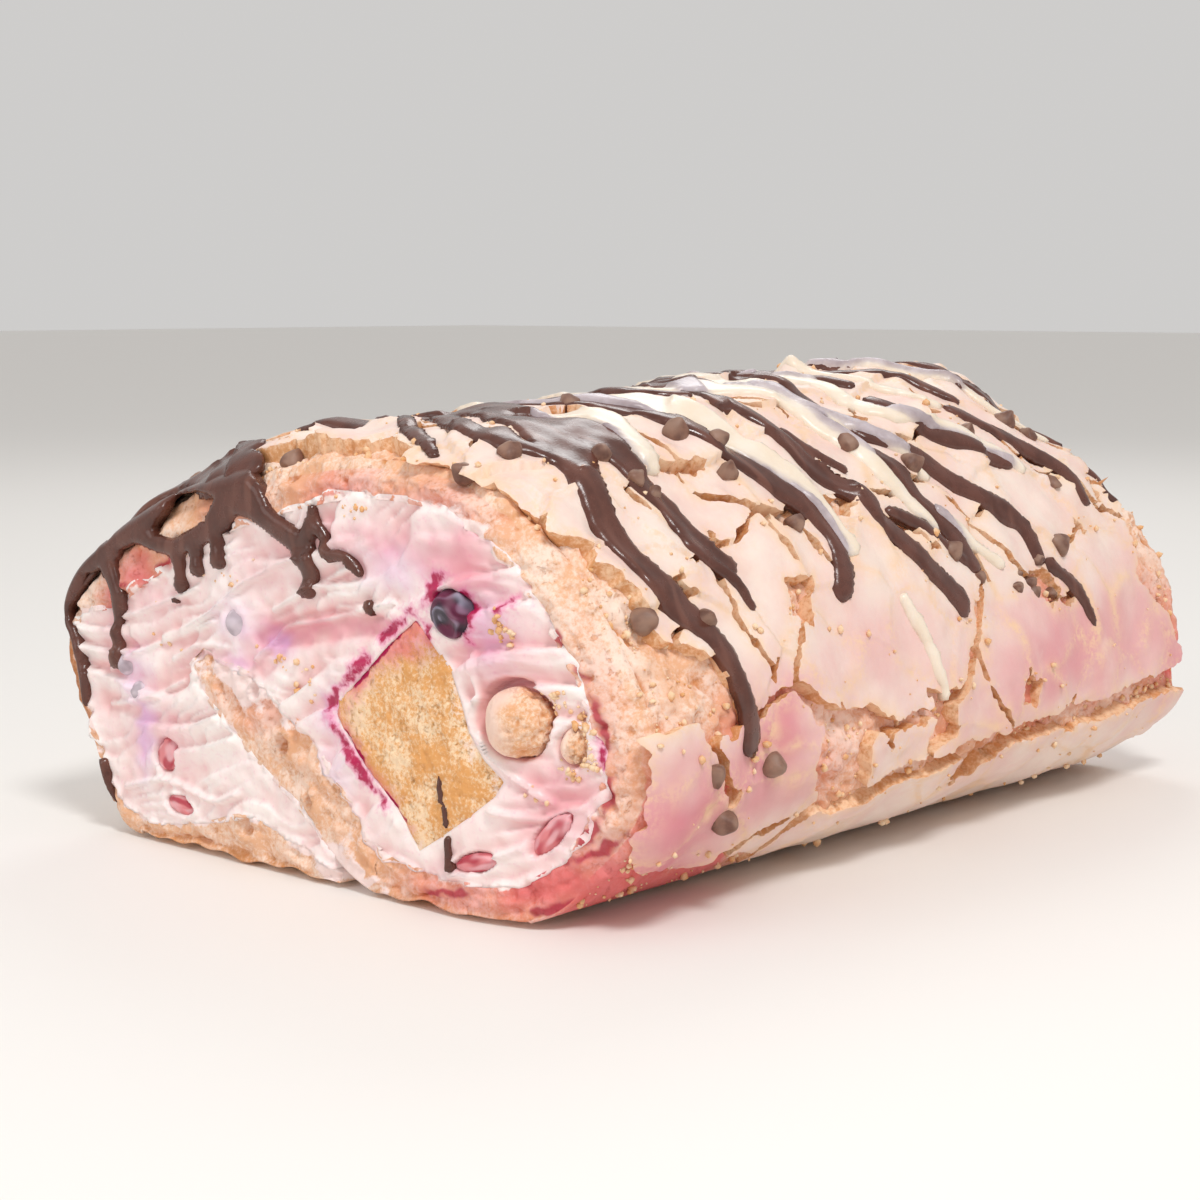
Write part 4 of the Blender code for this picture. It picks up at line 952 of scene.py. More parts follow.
def cream_relief(section, depth_in, end):
    height = 2.3 * strokes(section, end, 12.0, 3.0) + 0.7 * strokes(section, end, 4.6, 9.0)
    height += uneven(section, CREAM_LUMPS, end)
    if end == 0.0:
        for route in KNIFE_RIDGES:
            line = path_through(route, 3.0)
            apart = np.maximum(distance_to(section, line * np.array([1.0, 1.0, 0.0])), 0.0)
            height += 1.8 * np.exp(-(apart / 0.8) ** 2) * line[:, 2].mean()
            height -= 0.7 * np.exp(-(apart / 3.4) ** 2)
        dent = np.maximum(distance_to(section, path_through(KNIFE_DENT, 3.0)), 0.0)
        height -= 1.3 * np.exp(-dent / 0.8)
    height *= smooth(depth_in / 2.0) * 0.6 + 0.4
    height += 0.35 * lumps(section, 3.0, 72.0 + end)
    for name, (across, up, depth, half, tilt) in pieces_at(end).items():
        apart = apart_from(section, across, up, half, tilt) + 0.1 * lumps(section, 3.0, 75.0)
        if "ball" in name:
            shifted = apart_from(section, across - 0.6, up + 1.0, half, 0)
            height -= 5.5 * smooth((1.17 - shifted) / 0.12)
        elif name in VEILED:
            height += 0.5 * np.exp(-((apart - 1.1) / 0.4) ** 2)
        else:
            height -= 3.0 * smooth((1.0 - apart) / 0.2)
            height += 0.4 * np.exp(-((apart - 1.2) / 0.25) ** 2)
    thick = smooth(depth_in / 2.4)
    return np.clip(height, -6.0, 2.6) * thick + (under_cream(section, end) + 0.15) * (1.0 - thick)


CREAM_PINK = {
    0.0: [(-44, 60, 16, 3.2, 1.0), (-22, 64, 12, 3.0, 0.9), (10, 76, 7, 4, 0.9), (-58, 57, 7, 3, 0.7),
          (-20, 84, 22, 5, 0.7), (6, 82, 10, 6, 0.9), (-100, 62, 12, 5, 0.4), (16, 62, 10, 10, 0.6),
          (30, 28, 12, 12, 0.7), (-70, 50, 16, 3.4, 0.6), (-118, 50, 5, 12, 0.35),
          (-60, 74, 18, 5, 0.3), (-100, 28, 10, 8, 0.6), (0, 8, 14, 4, 0.4), (-28, 12, 8, 10, 0.25)],
    1.0: [(-40, 62, 18, 4, 0.8), (-90, 60, 16, 6, 0.6), (10, 84, 14, 6, 0.7), (-100, 28, 10, 8, 0.5),
          (28, 30, 12, 14, 0.6)],
}
CREAM_LILAC = {
    0.0: [(-55, 55.5, 5.5, 3.4, 1.0), (-69, 50, 4, 2.4, 0.7), (-14, 78, 10, 5, 0.55),
          (-104, 31, 3, 5, 0.8), (-36, 41, 4, 6, 0.6), (-108, 45, 5, 4, 0.5), (-110, 39, 5, 4, 0.5),
          (-106, 23, 3.4, 6, 1.0), (-69, 60, 7, 5, 0.6), (14, 66, 6, 8, 0.6), (-33, 27, 6, 6, 0.4)],
    1.0: [(-58, 75, 8, 6, 0.6), (-100, 58, 6, 5, 0.6), (-20, 50, 6, 6, 0.5)],
}
# Jam: routes of across, up and width.
CREAM_JAM = {
    0.0: [
        [(-2.5, 66, 2.4), (-8, 68.4, 1.6), (-16, 62.5, 1.6), (-25.6, 53.6, 2.2), (-34, 45.2, 1.6),
         (-36, 41, 1.0)],
        [(-35.6, 40, 1.2), (-31.4, 34.6, 2), (-24.4, 27.6, 1.8), (-16.6, 21.4, 1.2)],
        [(-3, 62, 1), (-2.4, 68, 3), (-1.6, 74, 3), (2, 78.6, 1.4)],
        [(9, 74, 1), (10.6, 68, 1.4), (9.4, 63, 0.8)],
        [(18, 72, 1), (21, 73.5, 1.6)],
        [(38.6, 50, 0.6), (40.4, 42, 1), (40, 32, 0.8)],
    ],
    1.0: [
        [(-6, 66, 2), (-24, 54, 2), (-36, 42, 1.6), (-24, 28, 1.6)],
    ],
}


def cream_fields(section, share):
    end = round(share)
    return {"pink": spread(section, CREAM_PINK[end], 0.7, 7.0),
            "lilac": spread(section, CREAM_LILAC[end], 0.7, 4.0, 2.0),
            "jam": line_stain(section, CREAM_JAM[end], 1.0, 4.0)}


def cream_piece(finish):
    outline = cream_outline()
    sponge = np.array(SPONGE, float)

    def mask_of(rows):
        ragged_by = 1.1 + uneven(rows, CREAM_EDGE)
        over = 0.25 + np.maximum(ragged_by, 0.0) * smooth((rows[:, 1] - 5.0) / 6.0)
        return np.minimum(outline_distance(rows, outline) + over, 0.6 - outline_distance(rows, sponge))

    piece = run_through("cream", outline, mask_of, cream_relief, cream_fields, CREAM_GRID, finish)
    return hand_over(piece, "cream", "cream_filling")


SPONGE_JAM = [
    [(-2, 64, 1), (-6.7, 67.4, 2.4), (-15.7, 60.5, 2), (-25, 51.8, 2.4), (-33, 44, 2), (-34.5, 40, 1.4),
     (-30.4, 35.6, 2), (-23.4, 28.4, 2), (-15.4, 22.2, 1.4), (-11.5, 18.6, 0.6)],
]
SPONGE_CREAM = [(7, 50, 2.4, 7, 0.8), (10, 38, 2.6, 5, 0.8), (16, 31, 3, 3, 0.8), (2, 58, 4, 3, 0.7),
                (-4, 62, 4, 4, 0.6), (4, 19, 4, 2, 0.7), (12, 25, 3.4, 2, 0.7), (-6, 63, 4, 4, 0.5),
                (-7, 14, 3, 3, 0.5), (-22, 46, 4, 4, 0.35)]
SPONGE_ROSY = [(-8, 60, 8, 6, 0.6)]


def sponge_relief(section, depth_in, end):
    height = uneven(section, SPONGE_LUMPS, end)
    height -= 0.6 * pits(section, 2.3, 84.0 + end)
    return height - 0.9 * np.exp(-depth_in / 1.2) + 0.3


def sponge_fields(section, share):
    rosy = line_stain(section, SPONGE_JAM, 3.6, 6.0, 0.9) + spread(section, SPONGE_ROSY, 0.8, 4.0)
    return {"jam": line_stain(section, SPONGE_JAM, 0.9, 5.0), "rosy": rosy.clip(0.0, 1.0),
            "pink": spread(section, SPONGE_CREAM, 1.0, 3.0, 6.0)}


def sponge_piece(finish):
    outline = np.array(SPONGE, float)

    def mask_of(rows):
        return outline_distance(rows, outline) - 0.1 + uneven(rows, SPONGE_EDGE)

    piece = run_through("sponge", outline, mask_of, sponge_relief, sponge_fields, SPONGE_GRID, finish)
    return hand_over(piece, "sponge", "sponge_strip")


# Poured chocolate: closed ribbons with round edges that follow what they lie on. A root is how deep
# a ribbon reaches into it.
DARK_THICKNESS = 1.15
WHITE_THICKNESS = 1.3
DRIP_THICKNESS = 1.5
STRAND_ROOT = 1.3
DRIP_ROOT = 2.6
FLOW_SIZE = (3.0, 14.0)


def strand_field(rows, strands, blend=0.7):
    """How far each place lies within the strands, which run together where they meet."""
    total = np.zeros(len(rows))
    for strand in strands:
        line = path_through(strand, 2.5)
        reach = line[:, 2].max() + 6.0 * blend
        low = line[:, :2].min(axis=0) - reach
        high = line[:, :2].max(axis=0) + reach
        near = np.all((rows > low) & (rows < high), axis=1)
        total[near] += np.exp(-distance_to(rows[near], line) / blend)
    return blend * np.log(total + 1.0e-9)


def poured(name, first, second, field, place, thickness, finish, fields, root=STRAND_ROOT):
    """A closed piece of chocolate: place gives each grid point's foot and its direction up."""
    cells = cells_over(field)
    first, second = snapped(first, second, field, cells)
    rows = np.stack([first.ravel(), second.ravel()], axis=1)
    foot, outward = place(rows)
    inside = np.clip(np.maximum(field.ravel(), 0.0) / 1.9, 0.0, 1.0)
    height = thickness * np.sqrt(1.0 - (1.0 - inside) ** 2) + 0.12
    number = np.arange(len(rows)).reshape(first.shape)
    lower = number + len(rows)
    points = np.vstack([foot + outward * height[:, None], foot - outward * root])
    faces = [grid_faces(cells, number), grid_faces(cells, lower)[:, ::-1]]
    faces.append(wall_faces(cells, number, lower))
    doubled = {label: np.tile(values, 2) for label, values in fields(rows).items()}
    return make_piece(name, points, faces, finish, doubled)


def ragged(rows, seed):
    return uneven(rows, CHOCOLATE_EDGE, seed)


def widened(strands, share):
    return [[(first, second, share * width) for first, second, width in strand] for strand in strands]


def dark_on_crust(rows):
    return strand_field(rows, widened(DARK, 1.28) + RIM_POOLS) + ragged(rows, 91.0)


def softened(values, passes):
    """A grid of values blurred over its neighbours."""
    for turn in range(passes):
        values = (sum(neighbours(values, "edge")) + 2.0 * values) / 6.0
    return values


def bridged_level(rows, shape):
    """The crust's level smoothed as chocolate smooths it, so that a strand spans the small steps."""
    level = chocolate_support(rows).reshape(shape)
    return np.maximum(softened(level, 14), level - 0.35).ravel()


def crust_foot(rows, level):
    base, outward = on_roll(rows[:, 0], rows[:, 1])
    level = level * SECTION.at(rows[:, 1], "exposed")
    on_face = smooth(-rows[:, 0] / 3.0)
    return base + outward * (level * (1.0 - on_face) + 0.4 * on_face)[:, None], outward


def flow_fields(rows):
    return {"flow": lumps(rows, FLOW_SIZE, 95.0)}


def dark_drizzle(finish):
    along, around, rows = flat_grid(*DARK_WINDOW, DRIZZLE_GRID)
    field = dark_on_crust(rows).reshape(along.shape)
    level = bridged_level(rows, along.shape)
    piece = poured("dark_drizzle", along, around, field, lambda rows: crust_foot(rows, level),
                   DARK_THICKNESS, finish, flow_fields)
    return hand_over(piece, "dark_chocolate")


def white_drizzle(finish):
    along, around, rows = flat_grid(*WHITE_WINDOW, DRIZZLE_GRID)
    field = (strand_field(rows, widened(WHITE, 1.15)) + 1.6 * ragged(rows, 97.0)).reshape(along.shape)
    level = bridged_level(rows, along.shape) + 1.0 * smooth(dark_on_crust(rows) / 1.2)

    def fields(rows):
        over_dark = smooth((dark_on_crust(rows) + 1.8) / 3.0)
        return {"flow": lumps(rows, FLOW_SIZE, 99.0), "over_dark": over_dark}

    piece = poured("white_drizzle", along, around, field, lambda rows: crust_foot(rows, level),
                   WHITE_THICKNESS, finish, fields)
    return hand_over(piece, "white_chocolate")


def face_drizzle(finish):
    """Chocolate that ran over the front rim and down the cut face."""
    across, up, rows = flat_grid(*FACE_WINDOW, FACE_DRIZZLE_GRID)
    skin = SECTION.skin[SECTION.first_open:SECTION.last_open]
    cream = cream_outline()

    def rim_fall(rows):
        within = np.clip(outline_distance(rows, skin), 0.0, CORNER_ROUND)
        return CORNER_REACH * (1.0 - np.sqrt(1.0 - (1.0 - within / CORNER_ROUND) ** 2))

    in_cream = outline_distance(rows, cream)
    in_sponge = smooth(outline_distance(rows, np.array(SPONGE, float)) + 0.5)
    creamy = 0.4 + cream_relief(rows, in_cream.clip(0.0), 0.0)
    level = (1.0 - in_sponge) * creamy - 0.2 * in_sponge
    in_cream = smooth(in_cream / 2.0)
    level = (in_cream * level + (1.0 - in_cream) * 0.5).reshape(across.shape)
    level = np.maximum(softened(level, 12), level - 0.5).ravel()

    def foot(rows):
        place = placed(rows, 0.0)
        place[:, 0] += rim_fall(rows) - level
        outward = np.zeros_like(place)
        outward[:, 0] = -1.0
        return place, outward

    field = strand_field(rows, FACE_DARK, 0.5)
    for island in CRUMB_ISLANDS:
        field = np.minimum(field, ragged(rows, 89.0) - outline_distance(rows, island))
    field = field + 0.3 * ragged(rows, 93.0)
    field = np.minimum(field, outline_distance(rows, skin) + 0.3).reshape(across.shape)

    piece = poured("face_drizzle", across, up, field, foot, DRIP_THICKNESS, finish, flow_fields,
                   DRIP_ROOT)
    piece.data.flip_normals()
    return hand_over(piece, "dark_chocolate")


# Pieces set in the cream, chips and crumbs: shaped from spheres and joined where they are many.

SPHERE_SEGMENTS = 72
SPHERE_RINGS = 48
CHIP_SEGMENTS = 20
# The side of a baking chip: radius and level, as shares of half its width.
CHIP_PROFILE = [(0.0, -0.22), (0.62, -0.22), (0.92, -0.12), (1.0, 0.06), (0.96, 0.28), (0.84, 0.5),
                (0.66, 0.7), (0.46, 0.87), (0.26, 1.0), (0.1, 1.08), (0.0, 1.1)]


def sphere_rows(segments, rings):
    """Unit sphere directions and quads, with poles on Z."""
    form = bmesh.new()
    bmesh.ops.create_uvsphere(form, u_segments=segments, v_segments=rings, radius=1.0)
    form.verts.ensure_lookup_table()
    points = np.array([vertex.co for vertex in form.verts])
    faces = [tuple(vertex.index for vertex in face.verts) for face in form.faces]
    form.free()
    return points, faces


def seat_of(piece, end):
    """Where the middle of a set piece lies, in millimetres."""
    across, up, depth = piece[:3]
    seat = placed(np.array([[across, up]], float), end)[0]
    seat[0] += depth if end == 0.0 else -depth
    return seat


def turned_about_x(points, degrees):
    turn = math.radians(degrees)
    across = points[:, 1] * math.cos(turn) - points[:, 2] * math.sin(turn)
    up = points[:, 1] * math.sin(turn) + points[:, 2] * math.cos(turn)
    return np.stack([points[:, 0], across, up], axis=1)


def set_piece(name, piece, end, finish, relief, fields):
    """A rounded piece in the cream, with its own relief on the ellipsoid of its solid."""
    across, up, depth, half, tilt = piece
    points, faces = sphere_rows(SPHERE_SEGMENTS, SPHERE_RINGS)
    height = relief(points, across)
    size = np.array([half[2], half[0], half[1]])
    shaped = points * size * (1.0 + height / size.mean())[:, None]
    if "strawberry" in name:
        cut = depth + 0.5
        shaped[:, 0] = cut * np.tanh(shaped[:, 0] / cut)
    shaped = turned_about_x(shaped, -tilt) + seat_of(piece, end)
    kept = {**fields(points, across), "height": height}
    return plain_piece(name + "_dressed", shaped, faces, finish, kept)


def crumbly_side(points, seed):
    """1 on the broken right side of a meringue piece and 0 on its smooth shell."""
    return smooth(0.5 - 1.4 * points[:, 1] + 0.8 * lumps(points, 0.6, seed + 7.0))


def meringue_relief(points, seed):
    """A smooth shell on the left and broken crumb on the right."""
    crumbly = crumbly_side(points, seed)
    height = 0.5 * lumps(points, 0.8, seed) + crumbly * uneven(points, MERINGUE_CRUMB, seed)
    return height - crumbly * (0.7 + 0.8 * pits(points, 0.4, seed + 2.0))


def veiled_relief(points, seed):
    return 0.25 * lumps(points, 0.6, seed)


def berry_relief(points, seed):
    """Folds that wind round a point low on a wrinkled berry."""
    bent = points[:, 1:] + 0.22 * wandering(points, 0.7, seed, seed + 9.0)
    from_swirl = np.linalg.norm(bent - np.array([-0.1, -0.28]), axis=1)
    return 0.42 * np.cos(13.5 * from_swirl) + 0.4 * lumps(points, 0.5, seed + 5.0)


def fruit_relief(points, seed):
    return uneven(points, FRUIT_LUMPS, seed)


def meringue_fields(points, seed):
    return {"crusty": 1.0 - crumbly_side(points, seed)}


def fruit_fields(points, seed):
    return {"veil": smooth(0.35 + 1.8 * lumps(points, 0.7, seed + 8.0)),
            "juice": smooth(0.4 + 2.0 * lumps(points, 0.8, seed + 9.0))}


def add_set_pieces(finishes):
    kinds = {"meringue": ("meringue_piece", meringue_relief, meringue_fields, "meringue"),
             "blueberry": ("blueberry", berry_relief, fruit_fields, "blueberry"),
             "strawberry": ("strawberry", fruit_relief, fruit_fields, "strawberry")}
    for end in (0.0, 1.0):
        for name, piece in pieces_at(end).items():
            finish, relief, fields, slot = kinds[name.split("_")[0]]
            if name in VEILED:
                finish, relief = "veiled_berry", veiled_relief
            made = set_piece(name, piece, end, finishes[finish], relief, fields)
            hand_over(made, slot, name)


def chip_shape():
    """A baking chip: a round foot and a low body that draws up to a blunt bent tip."""
    rings = path_through(CHIP_PROFILE, 0.11)
    segments = CHIP_SEGMENTS
    points = [(0.0, 0.0, CHIP_PROFILE[0][1])]
    for radius, level in rings[1:-1]:
        for k in range(segments):
            turn = math.tau * k / segments
            bend = 0.2 * max(level - 0.6, 0.0)
            points.append((radius * math.cos(turn) + bend, radius * math.sin(turn), level))
    points.append((0.1, 0.0, CHIP_PROFILE[-1][1]))
    faces = []
    last = len(points) - 1
    count = len(rings) - 2
    for k in range(segments):
        after = (k + 1) % segments
        faces.append((0, 1 + after, 1 + k))
        faces.append((last, last - segments + k, last - segments + after))
        for ring in range(count - 1):
            a = 1 + ring * segments
            faces.append((a + k, a + after, a + segments + after, a + segments + k))
    return np.array(points), faces


def chips_piece(finish):
    """The chips, most of them lying on their sides and pressed into the crust."""
    shape, shape_faces = chip_shape()
    listed = np.array(CHIPS, float)
    rows = listed[:, :2]
    base, outward = on_roll(rows[:, 0], rows[:, 1])
    mask, level = crust_state(rows)
    bare = smooth(-mask / 2.0)
    level = (level * (1.0 - bare) + crumb_height(rows) * bare) * SECTION.at(rows[:, 1], "exposed")
    points = []
    faces = []
    dust = []
    for k in range(len(rows)):
        lean = Vector((math.sin(2.4 * k), math.cos(1.7 * k), 0.25))
        lean = lean * (0.45 + 1.1 * math.sin(1.3 * k) ** 2)
        axis = (Vector(outward[k]) + lean).normalized()
        turn = np.array(axis.to_track_quat("Z", "Y").to_matrix() @ Matrix.Rotation(1.9 * k, 3, "Z"))
        size = 0.5 * CHIP_WIDTH * listed[k, 2] * (0.9 + 0.16 * math.sin(3.1 * k) ** 2)
        local = shape * np.array([size, 0.92 * size, CHIP_HEIGHT * size / (0.5 * CHIP_WIDTH)])
        local = local + 0.5 * np.stack([lumps(shape, 0.8, 5.0 * k + s) for s in (0.0, 1.3, 2.6)], axis=1)
        first = k * len(shape)
        points.append(local @ turn.T + base[k] + outward[k] * (level[k] - 0.1 * size))
        faces += [tuple(first + c for c in face) for face in shape_faces]
        dust.append(smooth(0.5 + 1.4 * lumps(shape, 0.9, 7.0 * k)))
    fields = {"dust": np.concatenate(dust)}
    piece = plain_piece("chocolate_chips", np.vstack(points), faces, finish, fields)
    return hand_over(piece, "dark_chocolate")


CRUMB_SEED = 412
CRUMB_TRIES = 11000
# Crumbs that the knife pressed into the cream of the cut face: across, up, two reaches and how many.
PRESSED_CRUMBS = [(17.5, 67, 2.6, 3, 26), (29.5, 50.5, 2.2, 2.4, 24), (35.5, 46, 2.2, 2.4, 26),
                  (37, 38.5, 2, 3, 30), (32.5, 35.4, 2.6, 1.6, 22), (-26, 91, 6, 1.6, 12),
                  (-47, 80, 3, 2, 4), (-70, 70, 14, 5, 8), (-96, 55, 10, 6, 5), (24, 29, 3, 2, 6),
                  (-44, 48, 4, 4, 12), (-54, 52, 5, 3, 10)]


def pressed_crumbs(random):
    """Places, directions and sizes of the crumbs in the cream."""
    spots = np.array([spot[:4] for spot in PRESSED_CRUMBS for turn in range(spot[4])])
    section = spots[:, :2] + spots[:, 2:] * random.normal(0.0, 0.6, (len(spots), 2))
    base = placed(section, 0.0)
    outward = np.tile([-1.0, 0.0, 0.0], (len(section), 1))
    level = cream_relief(section, outline_distance(section, cream_outline()).clip(0.0), 0.0)
    sizes = 0.3 + 0.8 * random.uniform(0.0, 1.0, len(section)) ** 2
    return base + outward * (level - 0.3 * sizes)[:, None], outward, sizes


def loose_crumbs(finish):
    """Crumbs that lie on the bare crumb, beside the cracks and in the cream of the cut face."""
    random = np.random.default_rng(CRUMB_SEED)
    along = random.uniform(1.0, 248.0, CRUMB_TRIES)
    around = random.uniform(-170.0, 150.0, CRUMB_TRIES)
    rows = np.stack([along, around], axis=1)
    mask, level = crust_state(rows)
    chance = np.where(mask < 0.0, 0.5, 0.22 * np.exp(-mask / 1.5))
    kept = random.uniform(0.0, 1.0, len(rows)) < chance
    rows, mask, level = rows[kept], mask[kept], level[kept]
    base, outward = on_roll(rows[:, 0], rows[:, 1])
    high = crust_height(mask, level, rows)
    foot = np.where(mask > 0.4, high, crumb_height(rows)) * SECTION.at(rows[:, 1], "exposed")
    form = bmesh.new()
    bmesh.ops.create_icosphere(form, subdivisions=1, radius=1.0)
    ball = np.array([vertex.co for vertex in form.verts])
    ball_faces = [tuple(vertex.index for vertex in face.verts) for face in form.faces]
    form.free()
    sizes = 0.28 + 0.95 * random.uniform(0.0, 1.0, len(rows)) ** 3
    pressed, pressed_out, pressed_sizes = pressed_crumbs(random)
    base = np.vstack([base, pressed])
    outward = np.vstack([outward, pressed_out])
    foot = np.concatenate([foot, np.zeros(len(pressed))])
    sizes = np.concatenate([sizes, pressed_sizes])
    points = []
    faces = []
    for k in range(len(sizes)):
        shape = ball * random.uniform(0.7, 1.15, (len(ball), 1))
        shape = shape * random.uniform(0.65, 1.25, 3) * sizes[k]
        points.append(shape + base[k] + outward[k] * (foot[k] + 0.4 * sizes[k]))
        faces += [tuple(k * len(ball) + c for c in face) for face in ball_faces]
    piece = plain_piece("loose_crumbs", np.vstack(points), faces, finish)
    return hand_over(piece, "meringue")


# Finishes.


def colour(code):
    """Linear colour from a six-figure screen colour."""
    levels = [int(code[k:k + 2], 16) / 255.0 for k in (0, 2, 4)]
    return tuple(v / 12.92 if v < 0.04045 else ((v + 0.055) / 1.055) ** 2.4 for v in levels) + (1.0,)


def feed(tree, sockets, values):
    """Give each socket its value: a constant or another node's output."""
    for socket, value in zip(sockets, values):
        if isinstance(value, bpy.types.NodeSocket):
            tree.links.new(value, socket)
        else:
            socket.default_value = value


def add_node(tree, kind, **inputs):
    """A node with its inputs; an underscore stands for a space in an input's name."""
    node = tree.nodes.new(kind)
    feed(tree, [node.inputs[label.replace("_", " ")] for label in inputs], inputs.values())
    return node


def noise_node(tree, **inputs):
    return add_node(tree, "ShaderNodeTexNoise", **inputs).outputs["Fac"]


def math_node(tree, operation, first, second, clamp=False):
    node = tree.nodes.new("ShaderNodeMath")
    node.operation = operation
    node.use_clamp = clamp
    feed(tree, node.inputs, (first, second))
    return node.outputs[0]


def times(tree, first, second):
    return math_node(tree, "MULTIPLY", first, second)


def plus(tree, first, second):
    return math_node(tree, "ADD", first, second)


def blended(tree, share, first, second):
    """Two colours mixed by a share."""
    node = tree.nodes.new("ShaderNodeMix")
    node.data_type = "RGBA"
    feed(tree, (node.inputs[0], node.inputs[6], node.inputs[7]), (share, first, second))
    return node.outputs[2]


def tinted(tree, share, base, code):
    """A colour with a screen colour laid over it by a share."""
    return blended(tree, share, base, colour(code))


def two_tone(tree, value, low, high, first, second):
    """A screen colour where a value is low, which turns into a second one where it is high."""
    return blended(tree, stretched(tree, value, low, high), colour(first), colour(second))


def stretched(tree, value, low, high):
    """A value that runs from 0 at low to 1 at high."""
    node = add_node(tree, "ShaderNodeMapRange", Value=value, From_Min=low, From_Max=high)
    node.interpolation_type = "SMOOTHSTEP"
    return node.outputs["Result"]


def field(tree, label):
    """A value kept at the mesh's points."""
    node = tree.nodes.new("ShaderNodeAttribute")
    node.attribute_name = label
    return node.outputs["Fac"]


def new_group(name, inputs, outputs):
    """A node group with float inputs and outputs; returns its tree, input sockets and output node."""
    tree = bpy.data.node_groups.new(name, "ShaderNodeTree")
    for label, value in inputs:
        socket = tree.interface.new_socket(label, in_out="INPUT", socket_type="NodeSocketFloat")
        socket.default_value = value
    for label in outputs:
        tree.interface.new_socket(label, in_out="OUTPUT", socket_type="NodeSocketFloat")
    return tree, tree.nodes.new("NodeGroupInput").outputs, tree.nodes.new("NodeGroupOutput")


def put_out(tree, out, **values):
    for label, value in values.items():
        tree.links.new(value, out.inputs[label])


def crumb_pores_group():
    """Baked crumb: ragged cavities, a height and a colour mottle, from the grain's size in mm."""
    tree, given, out = new_group("crumb_pores", [("Grain Size", 1.2), ("Openness", 0.5)],
                                 ["Pores", "Height", "Mottle"])
    place = tree.nodes.new("ShaderNodeTexCoord").outputs["Object"]
    scale = math_node(tree, "DIVIDE", 1000.0, given["Grain Size"])
    rough = noise_node(tree, Vector=place, Scale=scale, Detail=5.0, Roughness=0.68)
    lumpy = noise_node(tree, Vector=place, Scale=times(tree, scale, 0.34), Detail=4.0, Roughness=0.6,
                       Distortion=0.6)
    broad = noise_node(tree, Vector=place, Scale=times(tree, scale, 0.1), Detail=3.0)
    cavity = stretched(tree, plus(tree, lumpy, times(tree, rough, 0.4)), 0.6, 0.5)
    cavity = times(tree, cavity, given["Openness"])
    cavity = times(tree, cavity, stretched(tree, broad, 0.36, 0.56))
    height = math_node(tree, "SUBTRACT", plus(tree, times(tree, rough, 0.6), lumpy), cavity)
    mottle = plus(tree, times(tree, rough, 0.55), times(tree, broad, 0.45))
    put_out(tree, out, Pores=cavity, Height=height, Mottle=mottle)


def mottle_group():
    """Soft uneven patches and a fine grain, from the patches' size in mm."""
    tree, given, out = new_group("soft_mottle", [("Patch Size", 10.0)], ["Patches", "Grain"])
    place = tree.nodes.new("ShaderNodeTexCoord").outputs["Object"]
    scale = math_node(tree, "DIVIDE", 1000.0, given["Patch Size"])
    patches = noise_node(tree, Vector=place, Scale=scale, Detail=4.0, Roughness=0.6)
    grain = noise_node(tree, Vector=place, Scale=times(tree, scale, 12.0), Detail=3.0)
    put_out(tree, out, Patches=patches, Grain=grain)


def placed_group(tree, name, **inputs):
    node = tree.nodes.new("ShaderNodeGroup")
    node.node_tree = bpy.data.node_groups[name]
    for label, value in inputs.items():
        node.inputs[label.replace("_", " ")].default_value = value
    return node.outputs


def mottled(tree, patches):
    return placed_group(tree, "soft_mottle", Patch_Size=patches)


def pored(tree, grain, openness):
    return placed_group(tree, "crumb_pores", Grain_Size=grain, Openness=openness)


def new_finish(name, roughness, soft=0.0, reach=0.001, gloss=0.5, tint=(1.0, 0.5, 0.35)):
    """A material with its shader; soft is the share of light that wanders beneath the surface."""
    material = bpy.data.materials.new(name)
    material.use_nodes = True
    tree = material.node_tree
    shader = tree.nodes["Principled BSDF"]
    shader.inputs["Roughness"].default_value = roughness
    shader.inputs["Specular IOR Level"].default_value = gloss
    shader.inputs["Subsurface Weight"].default_value = soft
    shader.inputs["Subsurface Scale"].default_value = reach
    shader.inputs["Subsurface Radius"].default_value = tint
    return material, tree, shader


def finished(tree, shader, base, height, strength, distance):
    """Give a finish its colour and a fine relief of so many millimetres."""
    tree.links.new(base, shader.inputs["Base Color"])
    node = add_node(tree, "ShaderNodeBump", Height=height, Strength=strength, Distance=distance * MM)
    tree.links.new(node.outputs["Normal"], shader.inputs["Normal"])


def crust_finish():
    material, tree, shader = new_finish("meringue_crust", 0.5, 0.06, 0.001)
    soft = mottled(tree, 16.0)
    pores = pored(tree, 1.3, 0.6)
    cream = two_tone(tree, soft["Patches"], 0.35, 0.68, "F0DCD0", "EBCBC1")
    # Painted light: pink where the tint field is, the pink bounce of the surroundings on the lower sides.
    pink = times(tree, field(tree, "tint"), stretched(tree, soft["Patches"], 0.08, 0.46))
    base = tinted(tree, pink, cream, "D98791")
    rim = times(tree, field(tree, "edge"), stretched(tree, pores["Mottle"], 0.4, 0.56))
    base = tinted(tree, times(tree, rim, 0.8), base, "EFC9A2")
    crumb = two_tone(tree, pores["Mottle"], 0.4, 0.58, "D69862", "F2CCA8")
    base = blended(tree, stretched(tree, field(tree, "broken"), 0.1, 0.5), base, crumb)
    # Painted shade: the crust's pores darkened.
    base = tinted(tree, times(tree, pores["Pores"], 0.1), base, "D7A184")
    rough = plus(tree, times(tree, field(tree, "broken"), 2.0), 0.3)
    height = plus(tree, times(tree, pores["Height"], rough), soft["Grain"])
    finished(tree, shader, base, height, 0.3, 0.25)
    return material


